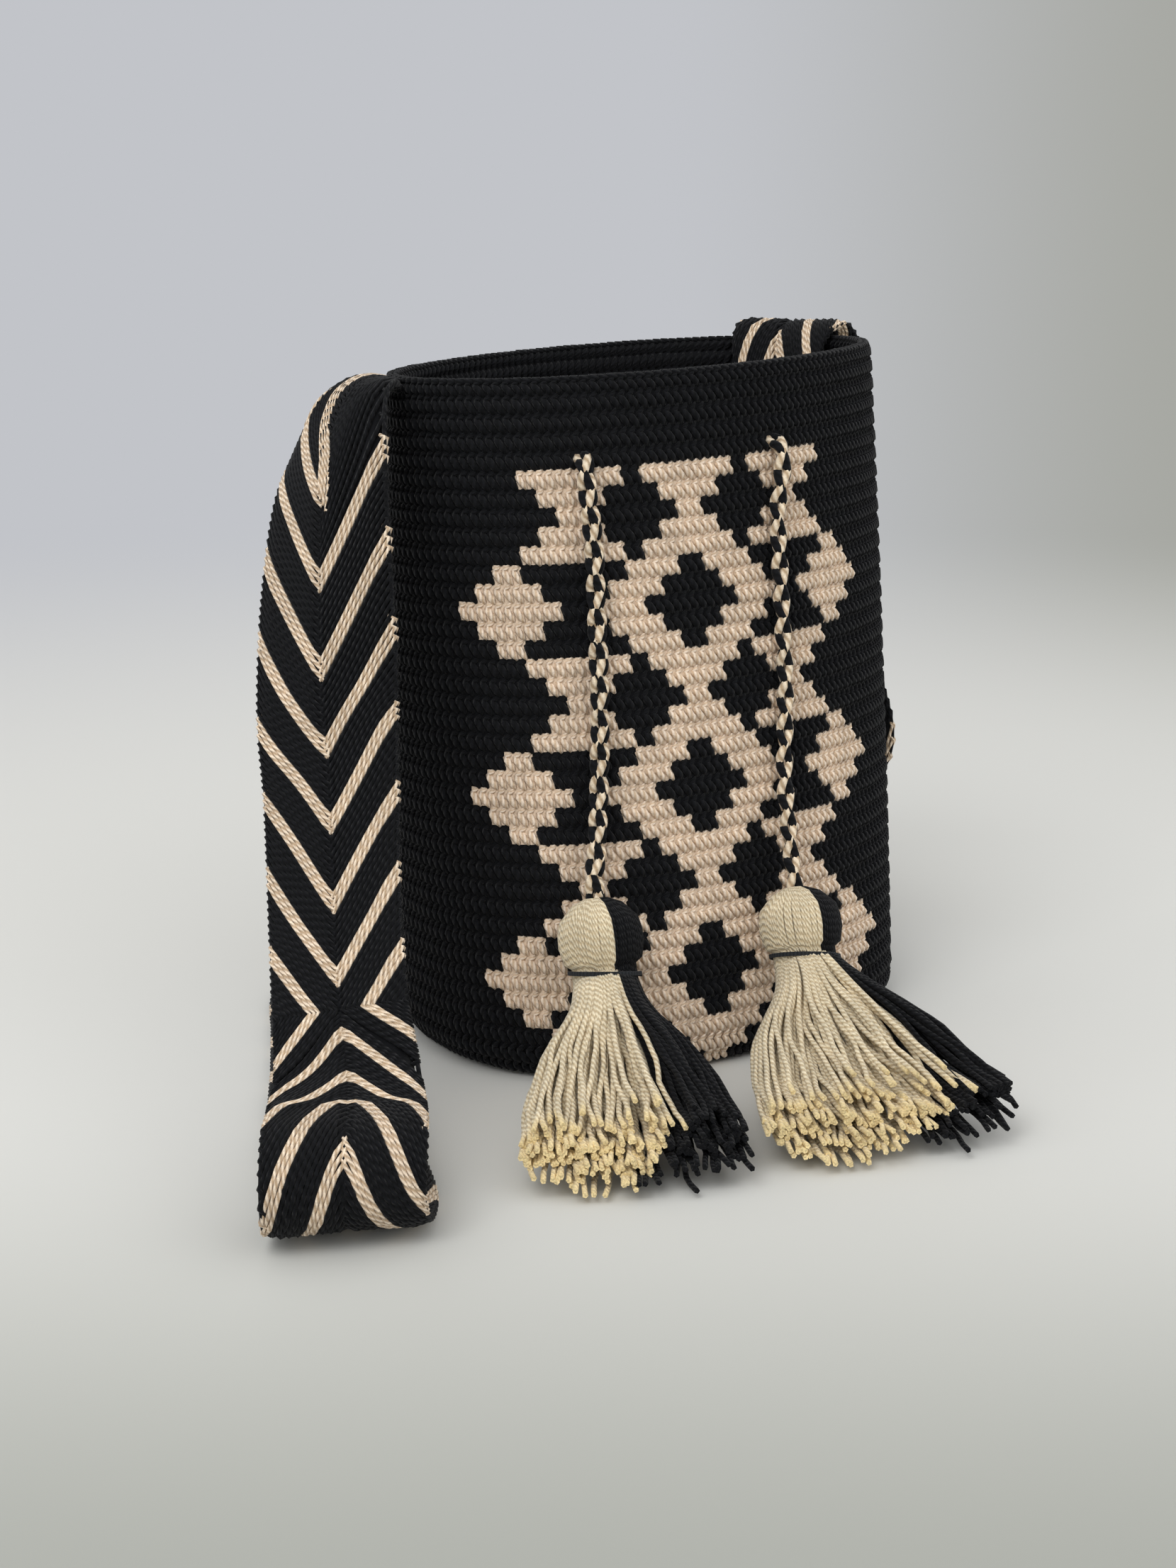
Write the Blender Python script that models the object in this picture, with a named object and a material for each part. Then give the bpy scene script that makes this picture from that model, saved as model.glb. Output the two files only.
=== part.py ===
"""A crocheted bucket bag with a plaited shoulder strap, a braided drawstring and two tassels.

Metres, +Z up. The origin is the centre of the base's underside. The patterned panel faces -Y,
and the strap is sewn to the rim at the two ends of the mouth, along X.
"""
import math

import bpy
import numpy as np
from mathutils import Vector

# Driving dimensions of the crocheted bag
HEIGHT = 0.220
GIRTH = 0.496
STITCHES_ROUND = 164
ROWS_IN_HEIGHT = 37.6
PLAIN_ROWS_ON_TOP = 4.6
WALL = 0.003
ROW_RIDGE = 0.0007
LAST_RIDGED_ROW = 30
RIM_ROUNDING = 0.0006
CORNER_RADIUS = 0.012
HALF_LENGTH = (0.087, 0.093, 0.095)
SQUARENESS = (2.44, 1.92)
TWIST_DEGREES = (-3.5, 4.0)
LEAN = (0.016, 0.030)
ROUND_SLOPE = 0.0034
PANEL_CENTRE = -0.030
STITCH_SLANT = 0.00044

# The stepped diamonds, in stitches and rows
REPEAT_ROWS = 10
FIRST_NARROW_ROW = 3
LAST_PATTERN_ROW = 33
NARROWEST = 3
STEP_STITCHES = 4
HOURGLASS_AT = 13
SMALL_DIAMOND_AT = 20
EYELET_AT = 11.5
SIDE_EYELETS_AT = 47
EYELET_HALF_WIDTH = 1.7
EYELET_EXTRA_HEIGHT = 0.0006
EYELETS_FELT_TO_ROW = 5.5

# Driving dimensions of the strap, the drawstring and the tassels
STRAP_WIDTH = 0.044
STRAP_THICKNESS = 0.0045
STRAP_REPEAT = 0.0255
STRAP_CREAM_SHARE = 0.32
CORD_DIAMETER = 0.0046
CORD_POINT_SPACING = 0.0145
TIE_WIDTH = 0.0024
GAP = 0.0004

STITCH = GIRTH / STITCHES_ROUND
ROW = HEIGHT / ROWS_IN_HEIGHT
CORD_RADIUS = CORD_DIAMETER / 2
OUTLINE_STEPS = 720


def clear_scene():
    for thing in list(bpy.data.objects):
        bpy.data.objects.remove(thing, do_unlink=True)


def yarn(name, colour, roughness=0.85):
    """A yarn's material: colour is linear RGB."""
    material = bpy.data.materials.new(name)
    material.use_nodes = True
    shader = material.node_tree.nodes["Principled BSDF"]
    shader.inputs["Base Color"].default_value = (*colour, 1.0)
    shader.inputs["Roughness"].default_value = roughness
    shader.inputs["Metallic"].default_value = 0.0
    material.diffuse_color = (*colour, 1.0)
    return material


BLACK = (0.008, 0.009, 0.011)
CREAM = (0.66, 0.53, 0.39)
TASSEL_CREAM = (0.62, 0.50, 0.30)


def mesh_object(name, points, faces, materials, face_materials=None):
    mesh = bpy.data.meshes.new(name)
    mesh.from_pydata([tuple(p) for p in points], [], faces)
    for material in materials:
        mesh.materials.append(material)
    if face_materials is not None:
        mesh.polygons.foreach_set("material_index", face_materials)
    mesh.shade_smooth()
    thing = bpy.data.objects.new(name, mesh)
    collection.objects.link(thing)
    return thing


# The bag's plan at any height: a rounded oval of constant girth
def oval(half_long, half_short, power):
    angle = np.linspace(0, 2 * math.pi, OUTLINE_STEPS + 1) - math.pi / 2
    c, s = np.cos(angle), np.sin(angle)
    x = half_long * np.sign(c) * np.abs(c) ** (2 / power)
    y = half_short * np.sign(s) * np.abs(s) ** (2 / power)
    return np.stack([x, y], 1)


def length_of(points):
    return np.linalg.norm(np.diff(points, axis=0), axis=1).sum()


def plan(share):
    """The outline at a share of the height, as points, outward normals and distances round."""
    low, middle, high = HALF_LENGTH
    half_long = low + (high - low) * share + (middle - (low + high) / 2) * 4 * share * (1 - share)
    power = SQUARENESS[0] + (SQUARENESS[1] - SQUARENESS[0]) * share
    least, most = 0.3 * half_long, half_long
    while most - least > 1e-6:
        half_short = (least + most) / 2
        if length_of(oval(half_long, half_short, power)) > GIRTH:
            most = half_short
        else:
            least = half_short
    points = oval(half_long, half_short, power)
    along = np.roll(points[:-1], -1, 0) - np.roll(points[:-1], 1, 0)
    along = np.vstack([along, along[:1]])
    normals = np.stack([along[:, 1], -along[:, 0]], 1)
    normals /= np.linalg.norm(normals, axis=1)[:, None]
    turn = math.radians(TWIST_DEGREES[0] + (TWIST_DEGREES[1] - TWIST_DEGREES[0]) * share)
    rotation = np.array([[math.cos(turn), math.sin(turn)], [-math.sin(turn), math.cos(turn)]])
    distance = np.concatenate([[0], np.cumsum(np.linalg.norm(np.diff(points, axis=0), axis=1))])
    centre = np.array(LEAN) * share
    return points @ rotation + centre, normals @ rotation, distance


plans = {}


def wall_point(stitch, row, out=0.0, inset=0.0):
    """A point of the wall: stitches from the panel's centre, rows from the pattern's top.

    out moves it outward from the outer face, and inset draws the plan in, for the base.
    """
    height = HEIGHT - (PLAIN_ROWS_ON_TOP + row - 0.5) * ROW
    drawn_in = inset
    if height < CORNER_RADIUS:
        bend = min((CORNER_RADIUS - height) / CORNER_RADIUS, math.pi / 2)
        height = CORNER_RADIUS * (1 - math.sin(bend))
        drawn_in += CORNER_RADIUS * (1 - math.cos(bend))
        height -= out * math.sin(bend)
        out *= math.cos(bend)
    share = round(min(max(height / HEIGHT, 0.0), 1.0), 4)
    if share not in plans:
        plans[share] = plan(share)
    points, normals, distance = plans[share]
    s = (PANEL_CENTRE + STITCH_SLANT * row + stitch * STITCH) % distance[-1]
    x, y = (np.interp(s, distance, points[:, i]) for i in (0, 1))
    nx, ny = (np.interp(s, distance, normals[:, i]) for i in (0, 1))
    slope = ROUND_SLOPE * share * math.sin(2 * math.pi * (s - PANEL_CENTRE) / distance[-1])
    return Vector((x + nx * (out - drawn_in), y + ny * (out - drawn_in), height + slope))


# The crocheted bag: base, wall and rim are one piece of crochet
def is_cream(stitch, row):
    """Whether the stitch is cream yarn, from its place in the ten-row repeat."""
    if not 1 <= row <= LAST_PATTERN_ROW:
        return False
    step = abs((row - FIRST_NARROW_ROW + REPEAT_ROWS // 2) % REPEAT_ROWS - REPEAT_ROWS // 2)
    wide = (NARROWEST + STEP_STITCHES * step) / 2
    hollow = (NARROWEST + STEP_STITCHES * (step - 3)) / 2 if step >= 3 else 0
    aside = abs(stitch)
    if aside < wide:
        return aside > hollow or step < 3
    if step >= 3:
        return abs(aside - SMALL_DIAMOND_AT) < hollow
    return abs(aside - HOURGLASS_AT) < wide


PANEL_EDGES = (1.5, 3.5, 5.5, 7.5, 9.5, 11.5, 14.5, 16.5, 18.5, 21.5, 23.5, 25.5)
SIDE_EDGES = (34.2, 41.0, 47.8)


def column_edges():
    """Stitch numbers where the mesh has a column line, once round from the front panel."""
    half = STITCHES_ROUND / 2
    panel = [-e for e in reversed(PANEL_EDGES)] + list(PANEL_EDGES)
    right = list(SIDE_EDGES)
    left = [STITCHES_ROUND - e for e in reversed(SIDE_EDGES)]
    return panel + right + [half + e for e in panel] + left


def eyelet_centres():
    front = [-EYELET_AT, EYELET_AT]
    half = STITCHES_ROUND / 2
    return front + [-SIDE_EYELETS_AT, SIDE_EYELETS_AT] + [half + at for at in front]


def eyelet_columns(edges):
    """For each eyelet, the column whose two edges are moved to its sides."""
    columns = []
    for centre in eyelet_centres():
        at = centre % STITCHES_ROUND
        middles = [((a + b) / 2) % STITCHES_ROUND for a, b in zip(edges, edges[1:])]
        columns.append(min(range(len(middles)), key=lambda i: abs(middles[i] - at)))
    return columns


def shifted_edges(edges, columns, row):
    """Column lines near the rim close in on the eyelets, and run true again lower down."""
    share = min(max((EYELETS_FELT_TO_ROW - row) / (EYELETS_FELT_TO_ROW - 0.5), 0), 1)
    moved = list(edges)
    for column, centre in zip(columns, eyelet_centres()):
        target = centre if abs(centre - edges[column]) < STITCHES_ROUND / 2 else centre + STITCHES_ROUND
        for edge, side in ((column, -1), (column + 1, 1)):
            aim = target + side * EYELET_HALF_WIDTH
            moved[edge] += (aim - edges[edge]) * share
    return moved


def build_bag():
    edges = column_edges()
    columns = eyelet_columns(edges)
    count = len(edges)
    top_row = 1 - int(PLAIN_ROWS_ON_TOP)
    rim = 0.5 - PLAIN_ROWS_ON_TOP
    rings = []
    bottom_row = ROWS_IN_HEIGHT - PLAIN_ROWS_ON_TOP + 0.5 + (math.pi / 2 - 1) * CORNER_RADIUS / ROW
    rings.append((bottom_row, 0.0))
    for row in range(LAST_PATTERN_ROW, top_row - 1, -1):
        rings.append((row + 0.5, 0.0))
        if row <= LAST_RIDGED_ROW:
            rings.append((row, ROW_RIDGE))
    rings.append((top_row - 0.5, 0.0))
    rings.append(((top_row - 0.5 + rim) / 2, ROW_RIDGE))
    rings.append((rim, -RIM_ROUNDING))
    outer = len(rings)
    inner_rows = [rim, -0.5, 0.5, 16.5, 30.5]
    rings += [(row, -WALL) for row in inner_rows]
    points = []
    for number, (row, out) in enumerate(rings):
        for edge in shifted_edges(edges, columns, row):
            points.append(wall_point(edge, row, out))
    floor = len(rings)
    for edge in edges:
        place = wall_point(edge, bottom_row, 0, WALL)
        points.append(Vector((place.x, place.y, WALL)))
    rings.append((bottom_row, -WALL))

    def at(ring, column):
        return ring * count + column % count

    for column in columns:
        for edge in (column, column + 1):
            for ring, (row, out) in enumerate(rings):
                if row in (-0.5, 0.5):
                    sign = 1 if row < 0 else -1
                    points[at(ring, edge)].z += sign * EYELET_EXTRA_HEIGHT
    faces, colours = [], []
    for ring in range(len(rings) - 1):
        row = (rings[ring][0] + rings[ring + 1][0]) / 2
        for column in range(count):
            if column in columns and -0.5 < row < 0.5:
                continue
            corners = ((ring, column), (ring, column + 1), (ring + 1, column + 1), (ring + 1, column))
            faces.append(tuple(at(*corner) for corner in corners))
            middle = (edges[column] + edges[(column + 1) % count]) / 2
            middle += STITCHES_ROUND / 2 if column == count - 1 else 0
            if middle > STITCHES_ROUND / 4:
                middle -= STITCHES_ROUND / 2
            colours.append(int(ring < outer - 1 and is_cream(middle, round(row))))
    sill = next(i for i, (row, out) in enumerate(rings) if row == 0.5 and out == 0.0)
    inner_top = outer + 1
    for column in columns:
        sides = (column, column + 1)
        left, right = [[at(sill + i, edge) for i in range(3)] for edge in sides]
        inner_left, inner_right = [[at(inner_top + i, edge) for i in (1, 0)] for edge in sides]
        faces.append((left[0], inner_left[0], inner_left[1], left[2], left[1]))
        faces.append((right[0], right[1], right[2], inner_right[1], inner_right[0]))
        faces.append((left[0], right[0], inner_right[0], inner_left[0]))
        faces.append((left[2], inner_left[1], inner_right[1], right[2]))
        colours += [0] * 4
    faces.append(tuple(at(0, column) for column in reversed(range(count))))
    faces.append(tuple(at(floor, column) for column in range(count)))
    colours += [0, 0]
    materials = [yarn("bag_black_yarn", BLACK), yarn("bag_cream_yarn", CREAM)]
    return mesh_object("bag_body", points, faces, materials, colours)


# Smooth routes, shared by the strap, the cords and the tassels
def smooth_route(stops, spacing):
    """A curve through the stops, as rows of numbers, with points about spacing apart."""
    stops = np.array([list(stop) for stop in stops], float)
    ends = np.vstack([2 * stops[0] - stops[1], stops, 2 * stops[-1] - stops[-2]])
    samples = []
    for a, b, c, d in zip(ends, ends[1:], ends[2:], ends[3:]):
        steps = max(1, round(float(np.linalg.norm((c - b)[:3])) / spacing))
        for t in np.arange(steps) / steps:
            samples.append(0.5 * (2 * b + (c - a) * t + (2 * a - 5 * b + 4 * c - d) * t * t
                                  + (3 * b - a - 3 * c + d) * t ** 3))
    samples.append(stops[-1])
    return np.array(samples)


def unit(vector):
    return vector / np.linalg.norm(vector)


# The drawstring: a round braid of two black and two cream strands
def cord(name, places, material):
    """A plain round tube through places on the wall: stitch, row, and distance out."""
    points = smooth_route([wall_point(*place) for place in places], CORD_POINT_SPACING)
    curve = bpy.data.curves.new(name, "CURVE")
    curve.dimensions = "3D"
    curve.bevel_depth = CORD_RADIUS
    curve.bevel_resolution = 2
    curve.use_fill_caps = True
    spline = curve.splines.new("POLY")
    spline.points.add(len(points) - 1)
    for target, point in zip(spline.points, points):
        target.co = (*point, 1.0)
    curve.materials.append(material)
    thing = bpy.data.objects.new(name, curve)
    collection.objects.link(thing)
    return thing


INSIDE = -(WALL + CORD_RADIUS + 0.0024)
OUTSIDE = ROW_RIDGE + GAP + CORD_RADIUS + 0.0006
IN_EYELET = -0.0012
STITCHES_BETWEEN_POINTS = 5


def build_drawstring():
    left = [(-EYELET_AT, 0, IN_EYELET), (-EYELET_AT, 0.03, 0.0012), (-11.5, 0.4, 0.0038),
            (-11.5, 1.5, 0.0048), (-11.1, 4.3, 0.0040), (-11.2, 8.5, 0.0040), (-11.4, 13.0, 0.0040),
            (-12.1, 17.2, 0.0052), (-12.9, 20.4, 0.0090), (-13.5, 22.2, 0.0125)]
    right = [(EYELET_AT, 0, IN_EYELET), (EYELET_AT, 0.03, 0.0012), (11.4, 0.4, 0.0038),
             (11.2, 1.5, 0.0048), (10.6, 3.7, 0.0040), (10.7, 8.5, 0.0040), (10.7, 13.1, 0.0040),
             (9.6, 17.7, 0.0052), (8.7, 21.2, 0.0090), (8.0, 23.2, 0.0125)]
    run = [(-EYELET_AT, 0, IN_EYELET - GAP), (-EYELET_AT, 0, -0.0034), (-12.9, 0, -0.0068),
           (-15.5, 0, INSIDE)]
    half = STITCHES_ROUND / 2
    crossings = [(-SIDE_EYELETS_AT, 1), (EYELET_AT - half, -1), (-EYELET_AT - half, 1),
                 (SIDE_EYELETS_AT - STITCHES_ROUND, -1)]
    for stitch, going_out in crossings:
        before, after = (INSIDE, OUTSIDE) if going_out > 0 else (OUTSIDE, INSIDE)
        run += [(stitch + 3.3, 0, before), (stitch + 1.3, 0, before * 0.8), (stitch, 0, IN_EYELET),
                (stitch - 1.3, 0, after * 0.8), (stitch - 3.3, 0, after)]
    far = EYELET_AT - STITCHES_ROUND
    run += [(far + 4, 0, INSIDE), (far + 1.4, 0, -0.0068), (far, 0, -0.0034), (far, 0, IN_EYELET - GAP)]
    spaced = [run[0]]
    for place in run[1:]:
        gap = spaced[-1][0] - place[0]
        parts = int(gap / STITCHES_BETWEEN_POINTS)
        for i in range(1, parts):
            spaced.append((spaced[-1][0] - gap / parts, 0, spaced[-1][2]))
        spaced.append(place)
    for name, places in (("drawstring_left_end", left), ("drawstring_right_end", right),
                         ("drawstring_inner_run", spaced)):
        cord(name, places, yarn(name + "_braid", CREAM))
    return wall_point(*left[-1]), wall_point(*right[-1])


# The strap: a flat plait whose strands cross in chevrons
STRAP_EDGE_SHARE = 0.56
CHEVRON_DEPTH = 0.034
STRAP_TURNS_AT = 0.2204
STRAP_ON_FLOOR = 0.5 * STRAP_THICKNESS + GAP
STRAP_STOPS = [
    # stitch, height and distance out as shares of the bag's height, width's direction and its share
    (-34.5, 0.980, 0.0040, -104, 0.42),
    (-34.3, 0.984, 0.0273, -103, 0.46),
    (-33.6, 0.979, 0.0568, -101, 0.60),
    (-32.6, 0.958, 0.0909, -97, 0.80),
    (-31.4, 0.905, 0.1273, -90, 0.95),
    (-30.2, 0.831, 0.1623, -78, 1.0),
    (-28.4, 0.700, 0.2041, -66, 1.0),
    (-26.6, 0.568, 0.2441, -58, 1.0),
    (-25.1, 0.476, 0.2759, -54, 0.96),
    (-23.2, 0.349, 0.3350, -50, 0.90),
    (-21.2, 0.232, 0.4100, -45, 0.88),
    (-19.9, 0.165, 0.4636, -40, 0.92),
    (-19.1, 0.143, 0.5227, -32, 0.98),
    (-18.5, 0.135, 0.5864, -26, 1.0),
    (-17.9, 0.080, 0.6250, -24, 1.0),
    (-17.8, 0.030, 0.5909, -24, 1.0),
    (-18.5, 0, 0.4795, -27, 1.0),
    (-20.9, 0, 0.3609, -28, 1.0),
    (-24.8, 0, 0.2436, -30, 0.95),
    (-30.6, 0, 0.1641, -33, 0.92),
    (-38.8, 0, 0.1141, -38, 0.90),
    (-47.5, 0, 0.1323, -44, 0.92),
    (-58.2, 0, 0.2127, -57, 0.96),
    (-70.3, 0.018, 0.2823, -76, 1.0),
    (-83.6, 0.045, 0.2950, -92, 1.0),
    (-94.0, 0.136, 0.2541, -98, 1.0),
    (-105.5, 0.300, 0.1682, -88, 1.0),
    (-106.8, 0.450, 0.1136, -78, 1.0),
    (-105.8, 0.620, 0.0818, -72, 1.0),
    (-107.4, 0.800, 0.0636, -68, 1.0),
    (-108.7, 0.930, 0.0445, -66, 1.0),
    (-108.3, 0.985, 0.0373, -63, 0.98),
    (-108.0, 1.022, 0.0191, -61, 0.94),
    (-107.6, 1.036, -0.0082, -62, 0.90),
    (-107.2, 1.026, -0.0400, -65, 0.86),
    (-107.0, 0.987, -0.0600, -69, 0.80),
    (-107.0, 0.940, -0.0627, -71, 0.76),
]
STRAP_FIRST_CHEVRON = 0.0528
# How steep the chevrons are at each distance along: they flatten in the bends and run out at the ends
CHEVRON_PLACES = (0.0, 0.05, 0.085, 0.235, 0.25, 0.33, 0.36)
CHEVRON_SHARES = (0.0, 0.30, 1.0, 1.0, 0.35, 0.35, 0.7)
CHEVRON_ENDS = ((0.12, 0.7), (0.07, 0.3), (0.0, 0.0))
# The stretches where the mesh has more lines than its colours need, with the lines in cream and in black
BENDS = ((0.235, 0.33), (0.93, 1.2))
LINES_IN_BENDS = ((1, 2), (2, 3))


def beside_wall(stitch, share, out):
    """A place level with a share of the height, and a share of the height out from the wall."""
    level = round(min(max(share, 0.0), 1.0), 4)
    if level not in plans:
        plans[level] = plan(level)
    points, normals, distance = plans[level]
    s = (PANEL_CENTRE + stitch * STITCH) % distance[-1]
    x, y = (np.interp(s, distance, points[:, i] + normals[:, i] * out * HEIGHT) for i in (0, 1))
    return x, y, max(share * HEIGHT, STRAP_ON_FLOOR)


def strap_frames():
    """Finely spaced centre points of the strap with its width vectors and distances along."""
    stops = [(*beside_wall(*stop[:3]), *stop[3:]) for stop in STRAP_STOPS]
    fine = smooth_route(stops, 0.0015)
    centres = fine[:, :3]
    along = np.gradient(centres, axis=0)
    along /= np.linalg.norm(along, axis=1)[:, None]
    angle = np.radians(fine[:, 3])
    across = np.stack([np.cos(angle), np.sin(angle), np.zeros(len(angle))], 1)
    across -= along * (across * along).sum(1)[:, None]
    across /= np.linalg.norm(across, axis=1)[:, None]
    distance = np.concatenate([[0], np.cumsum(np.linalg.norm(np.diff(centres, axis=0), axis=1))])
    return centres, across, np.cross(across, along), fine[:, 4], distance


def build_strap():
    centres, across, facing, share, distance = strap_frames()
    length = distance[-1]

    def at(place, aside, lift):
        place = min(max(place, 0), length)
        pick = [np.interp(place, distance, column) for column in np.hstack([centres, across, facing]).T]
        width = np.interp(place, distance, share) * STRAP_WIDTH / 2
        centre, side, up = (np.array(pick[i:i + 3]) for i in (0, 3, 6))
        return centre + side * aside * width + up * lift

    def chevron_depth(place):
        """The chevrons run out at the sewn ends and flatten where the strap bends sharply."""
        places = CHEVRON_PLACES + tuple(length - before for before, share in CHEVRON_ENDS)
        shares = CHEVRON_SHARES + tuple(share for before, share in CHEVRON_ENDS)
        return CHEVRON_DEPTH * np.interp(place, places, shares)

    cream, black = STRAP_REPEAT * STRAP_CREAM_SHARE, STRAP_REPEAT * (1 - STRAP_CREAM_SHARE)
    middles = [(0.0, 0), (STRAP_FIRST_CHEVRON / 3, 0), (STRAP_FIRST_CHEVRON * 2 / 3, 0)]
    place = STRAP_FIRST_CHEVRON
    while place + cream < length - cream / 2:
        cream_lines, black_lines = 1, 1
        for (low, high), lines in zip(BENDS, LINES_IN_BENDS):
            if low < place < high:
                cream_lines, black_lines = lines
        middles += [(place + cream * i / cream_lines, 1) for i in range(cream_lines)]
        middles += [(place + cream + black * i / black_lines, 0) for i in range(black_lines)]
        place += cream + black
    middles.append((length, 0))
    lines = []
    for middle, colour in middles:
        ahead = 1 if middle < STRAP_TURNS_AT else -1
        edge = min(max(middle - ahead * chevron_depth(middle), 0.0), length)
        lines.append((edge, middle, colour))
    half_edge, half_middle = STRAP_EDGE_SHARE * STRAP_THICKNESS / 2, STRAP_THICKNESS / 2
    points = []
    for edge, middle, colour in lines:
        points += [at(edge, -1, half_edge), at(middle, 0, half_middle), at(edge, 1, half_edge),
                   at(edge, 1, -half_edge), at(middle, 0, -half_middle), at(edge, -1, -half_edge)]
    faces, colours = [], []
    for i in range(len(lines) - 1):
        for j in range(6):
            k = (j + 1) % 6
            faces.append((6 * i + j, 6 * i + k, 6 * i + 6 + k, 6 * i + 6 + j))
            colours.append(lines[i][2])
    last = 6 * (len(lines) - 1)
    faces.append((5, 4, 1, 0))
    faces.append((4, 3, 2, 1))
    faces.append((last, last + 1, last + 4, last + 5))
    faces.append((last + 1, last + 2, last + 3, last + 4))
    colours += [0] * 4
    materials = [yarn("strap_black_yarn", BLACK), yarn("strap_cream_yarn", CREAM)]
    return mesh_object("strap", points, faces, materials, colours)


# The tassels: a cream bundle and a black bundle of cut yarn, tied round together at the neck
HEAD_HALF_WIDTH = 0.0130
HEAD_HALF_DEPTH = 0.0120
NECK_HALF_WIDTH = 0.0110
NECK_HALF_DEPTH = 0.0098
NECK_LENGTH = TIE_WIDTH + 0.0028
# The head above the neck: share of the way down, share of its full width and depth
HEAD = ((0, 0.30), (0.08, 0.62), (0.28, 0.93), (0.6, 1.0), (0.82, 0.92))
# The skirt below the neck: share of the way to the tips, share of the fan's width, necks of depth
SKIRT = ((0.16, 0.40, 1.10), (0.36, 0.72, 1.40), (0.66, 0.93, 1.30), (1.0, 1.0, 1.08))
BUNDLE_SIDES = 9
HALVES_APART = 0.0010
CORD_TO_HEAD = GAP + 0.0002
FLUTE = 0.03


def bundle(name, stops, straight, keep, material):
    """Half a tassel, lofted through stops: x, y, z, side x, y, z, half width, half depth, split."""
    stops = np.array(stops, float)
    points, faces = [], []
    along = np.gradient(stops[:, :3], axis=0)
    along[:straight] = stops[1, :3] - stops[0, :3]
    for number, stop in enumerate(stops):
        centre, side = stop[:3], stop[3:6]
        half_width, half_depth, split = stop[6:9]
        forward = unit(along[number])
        side = unit(side - forward * side.dot(forward))
        up = np.cross(forward, side)
        cut = math.acos(max(-0.95, min(0.95, split)))
        start, end = (cut, 2 * math.pi - cut) if keep < 0 else (-cut, cut)
        for i, angle in enumerate(np.linspace(start, end, BUNDLE_SIDES)):
            flute = 1 + (FLUTE if i % 2 else -FLUTE)
            if i in (0, BUNDLE_SIDES - 1):
                flute = 1
            move = side * half_width * math.cos(angle) * flute + up * half_depth * math.sin(angle) * flute
            points.append(centre + move + side * keep * HALVES_APART / 2)
    n = BUNDLE_SIDES
    top, bottom = (0, n - 1) if keep < 0 else (n - 1, 0)
    for ring in range(0, (len(stops) - 1) * n, n):
        for i in range(n - 1):
            faces.append((ring + i, ring + i + 1, ring + n + i + 1, ring + n + i))
        # The flat side is cut along the same diagonal in both halves, so that they lie parallel
        low, high = ring + n + bottom, ring + n + top
        flat = [(ring + bottom, ring + top, low), (ring + top, high, low)]
        faces += flat if keep < 0 else [face[::-1] for face in flat]
    faces.append(tuple(reversed(range(n))))
    last = (len(stops) - 1) * n
    faces.append(tuple(range(last, last + n)))
    return mesh_object(name, points, faces, [material])


def build_tassel(side_name, head_top, neck, tips, neck_side, tip_side, fan_half_width, splits):
    """A tassel from its head's top to its tips; the sides are unit vectors across it."""
    head_top, neck, tips = (np.array(p) for p in (head_top, neck, tips))
    neck_side, tip_side = np.array(neck_side), np.array(tip_side)
    down = unit(neck - head_top)
    start = head_top + down * CORD_TO_HEAD
    stops = []
    for share, swell in HEAD:
        stops.append([*(start + (neck - start) * share), *neck_side, HEAD_HALF_WIDTH * swell,
                      HEAD_HALF_DEPTH * swell, splits[0]])
    for beyond in (-NECK_LENGTH / 2, NECK_LENGTH / 2):
        stops.append([*(neck + down * beyond), *neck_side, NECK_HALF_WIDTH, NECK_HALF_DEPTH, splits[0]])
    straight = len(stops)
    for share, width, depth in SKIRT:
        level = neck + (tips - neck) * share
        droop = (1 - share) ** 2
        level[2] = tips[2] + (neck[2] - tips[2]) * droop
        across = neck_side + (tip_side - neck_side) * share
        half_depth = min(NECK_HALF_DEPTH * depth, level[2] - GAP)
        stops.append([*level, *across, fan_half_width * width, half_depth,
                      splits[0] + (splits[1] - splits[0]) * share])
    for colour, linear, keep in (("cream", TASSEL_CREAM, -1), ("black", BLACK, 1)):
        material = yarn(f"tassel_{side_name}_{colour}", linear)
        bundle(f"tassel_{side_name}_{colour}_yarn", stops, straight, keep, material)
    tie_radius = TIE_WIDTH / 2
    ring_radius = NECK_HALF_WIDTH * (1 + FLUTE) + 3 * GAP + tie_radius
    bpy.ops.mesh.primitive_torus_add(major_radius=ring_radius, minor_radius=tie_radius,
                                     major_segments=12, minor_segments=5)
    tie = bpy.context.object
    tie.name = f"tassel_{side_name}_neck_tie"
    tie.location = Vector(neck)
    tie.rotation_euler = Vector(down).to_track_quat("Z", "Y").to_euler()
    tie.data.materials.append(yarn(tie.name + "_yarn", BLACK))
    tie.data.shade_smooth()
    for owner in list(tie.users_collection):
        owner.objects.unlink(tie)
    collection.objects.link(tie)


clear_scene()
collection = bpy.data.collections.new("mochila_bag")
bpy.context.scene.collection.children.link(collection)
build_bag()
left_top, right_top = build_drawstring()
build_strap()
build_tassel("left", left_top, beside_wall(-9.4, 0.182, 0.0750), beside_wall(-9.1, 0.050, 0.4485),
             (0.805, -0.593, 0), (0.963, -0.269, 0), 0.035, (0.30, 0.22))
build_tassel("right", right_top, beside_wall(11.2, 0.168, 0.0850), beside_wall(5.0, 0.050, 0.4610),
             (0.805, -0.593, 0), (0.994, -0.113, 0), 0.042, (0.45, 0.25))
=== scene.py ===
"""A crocheted mochila bag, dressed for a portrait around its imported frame."""
import math
import random

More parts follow.
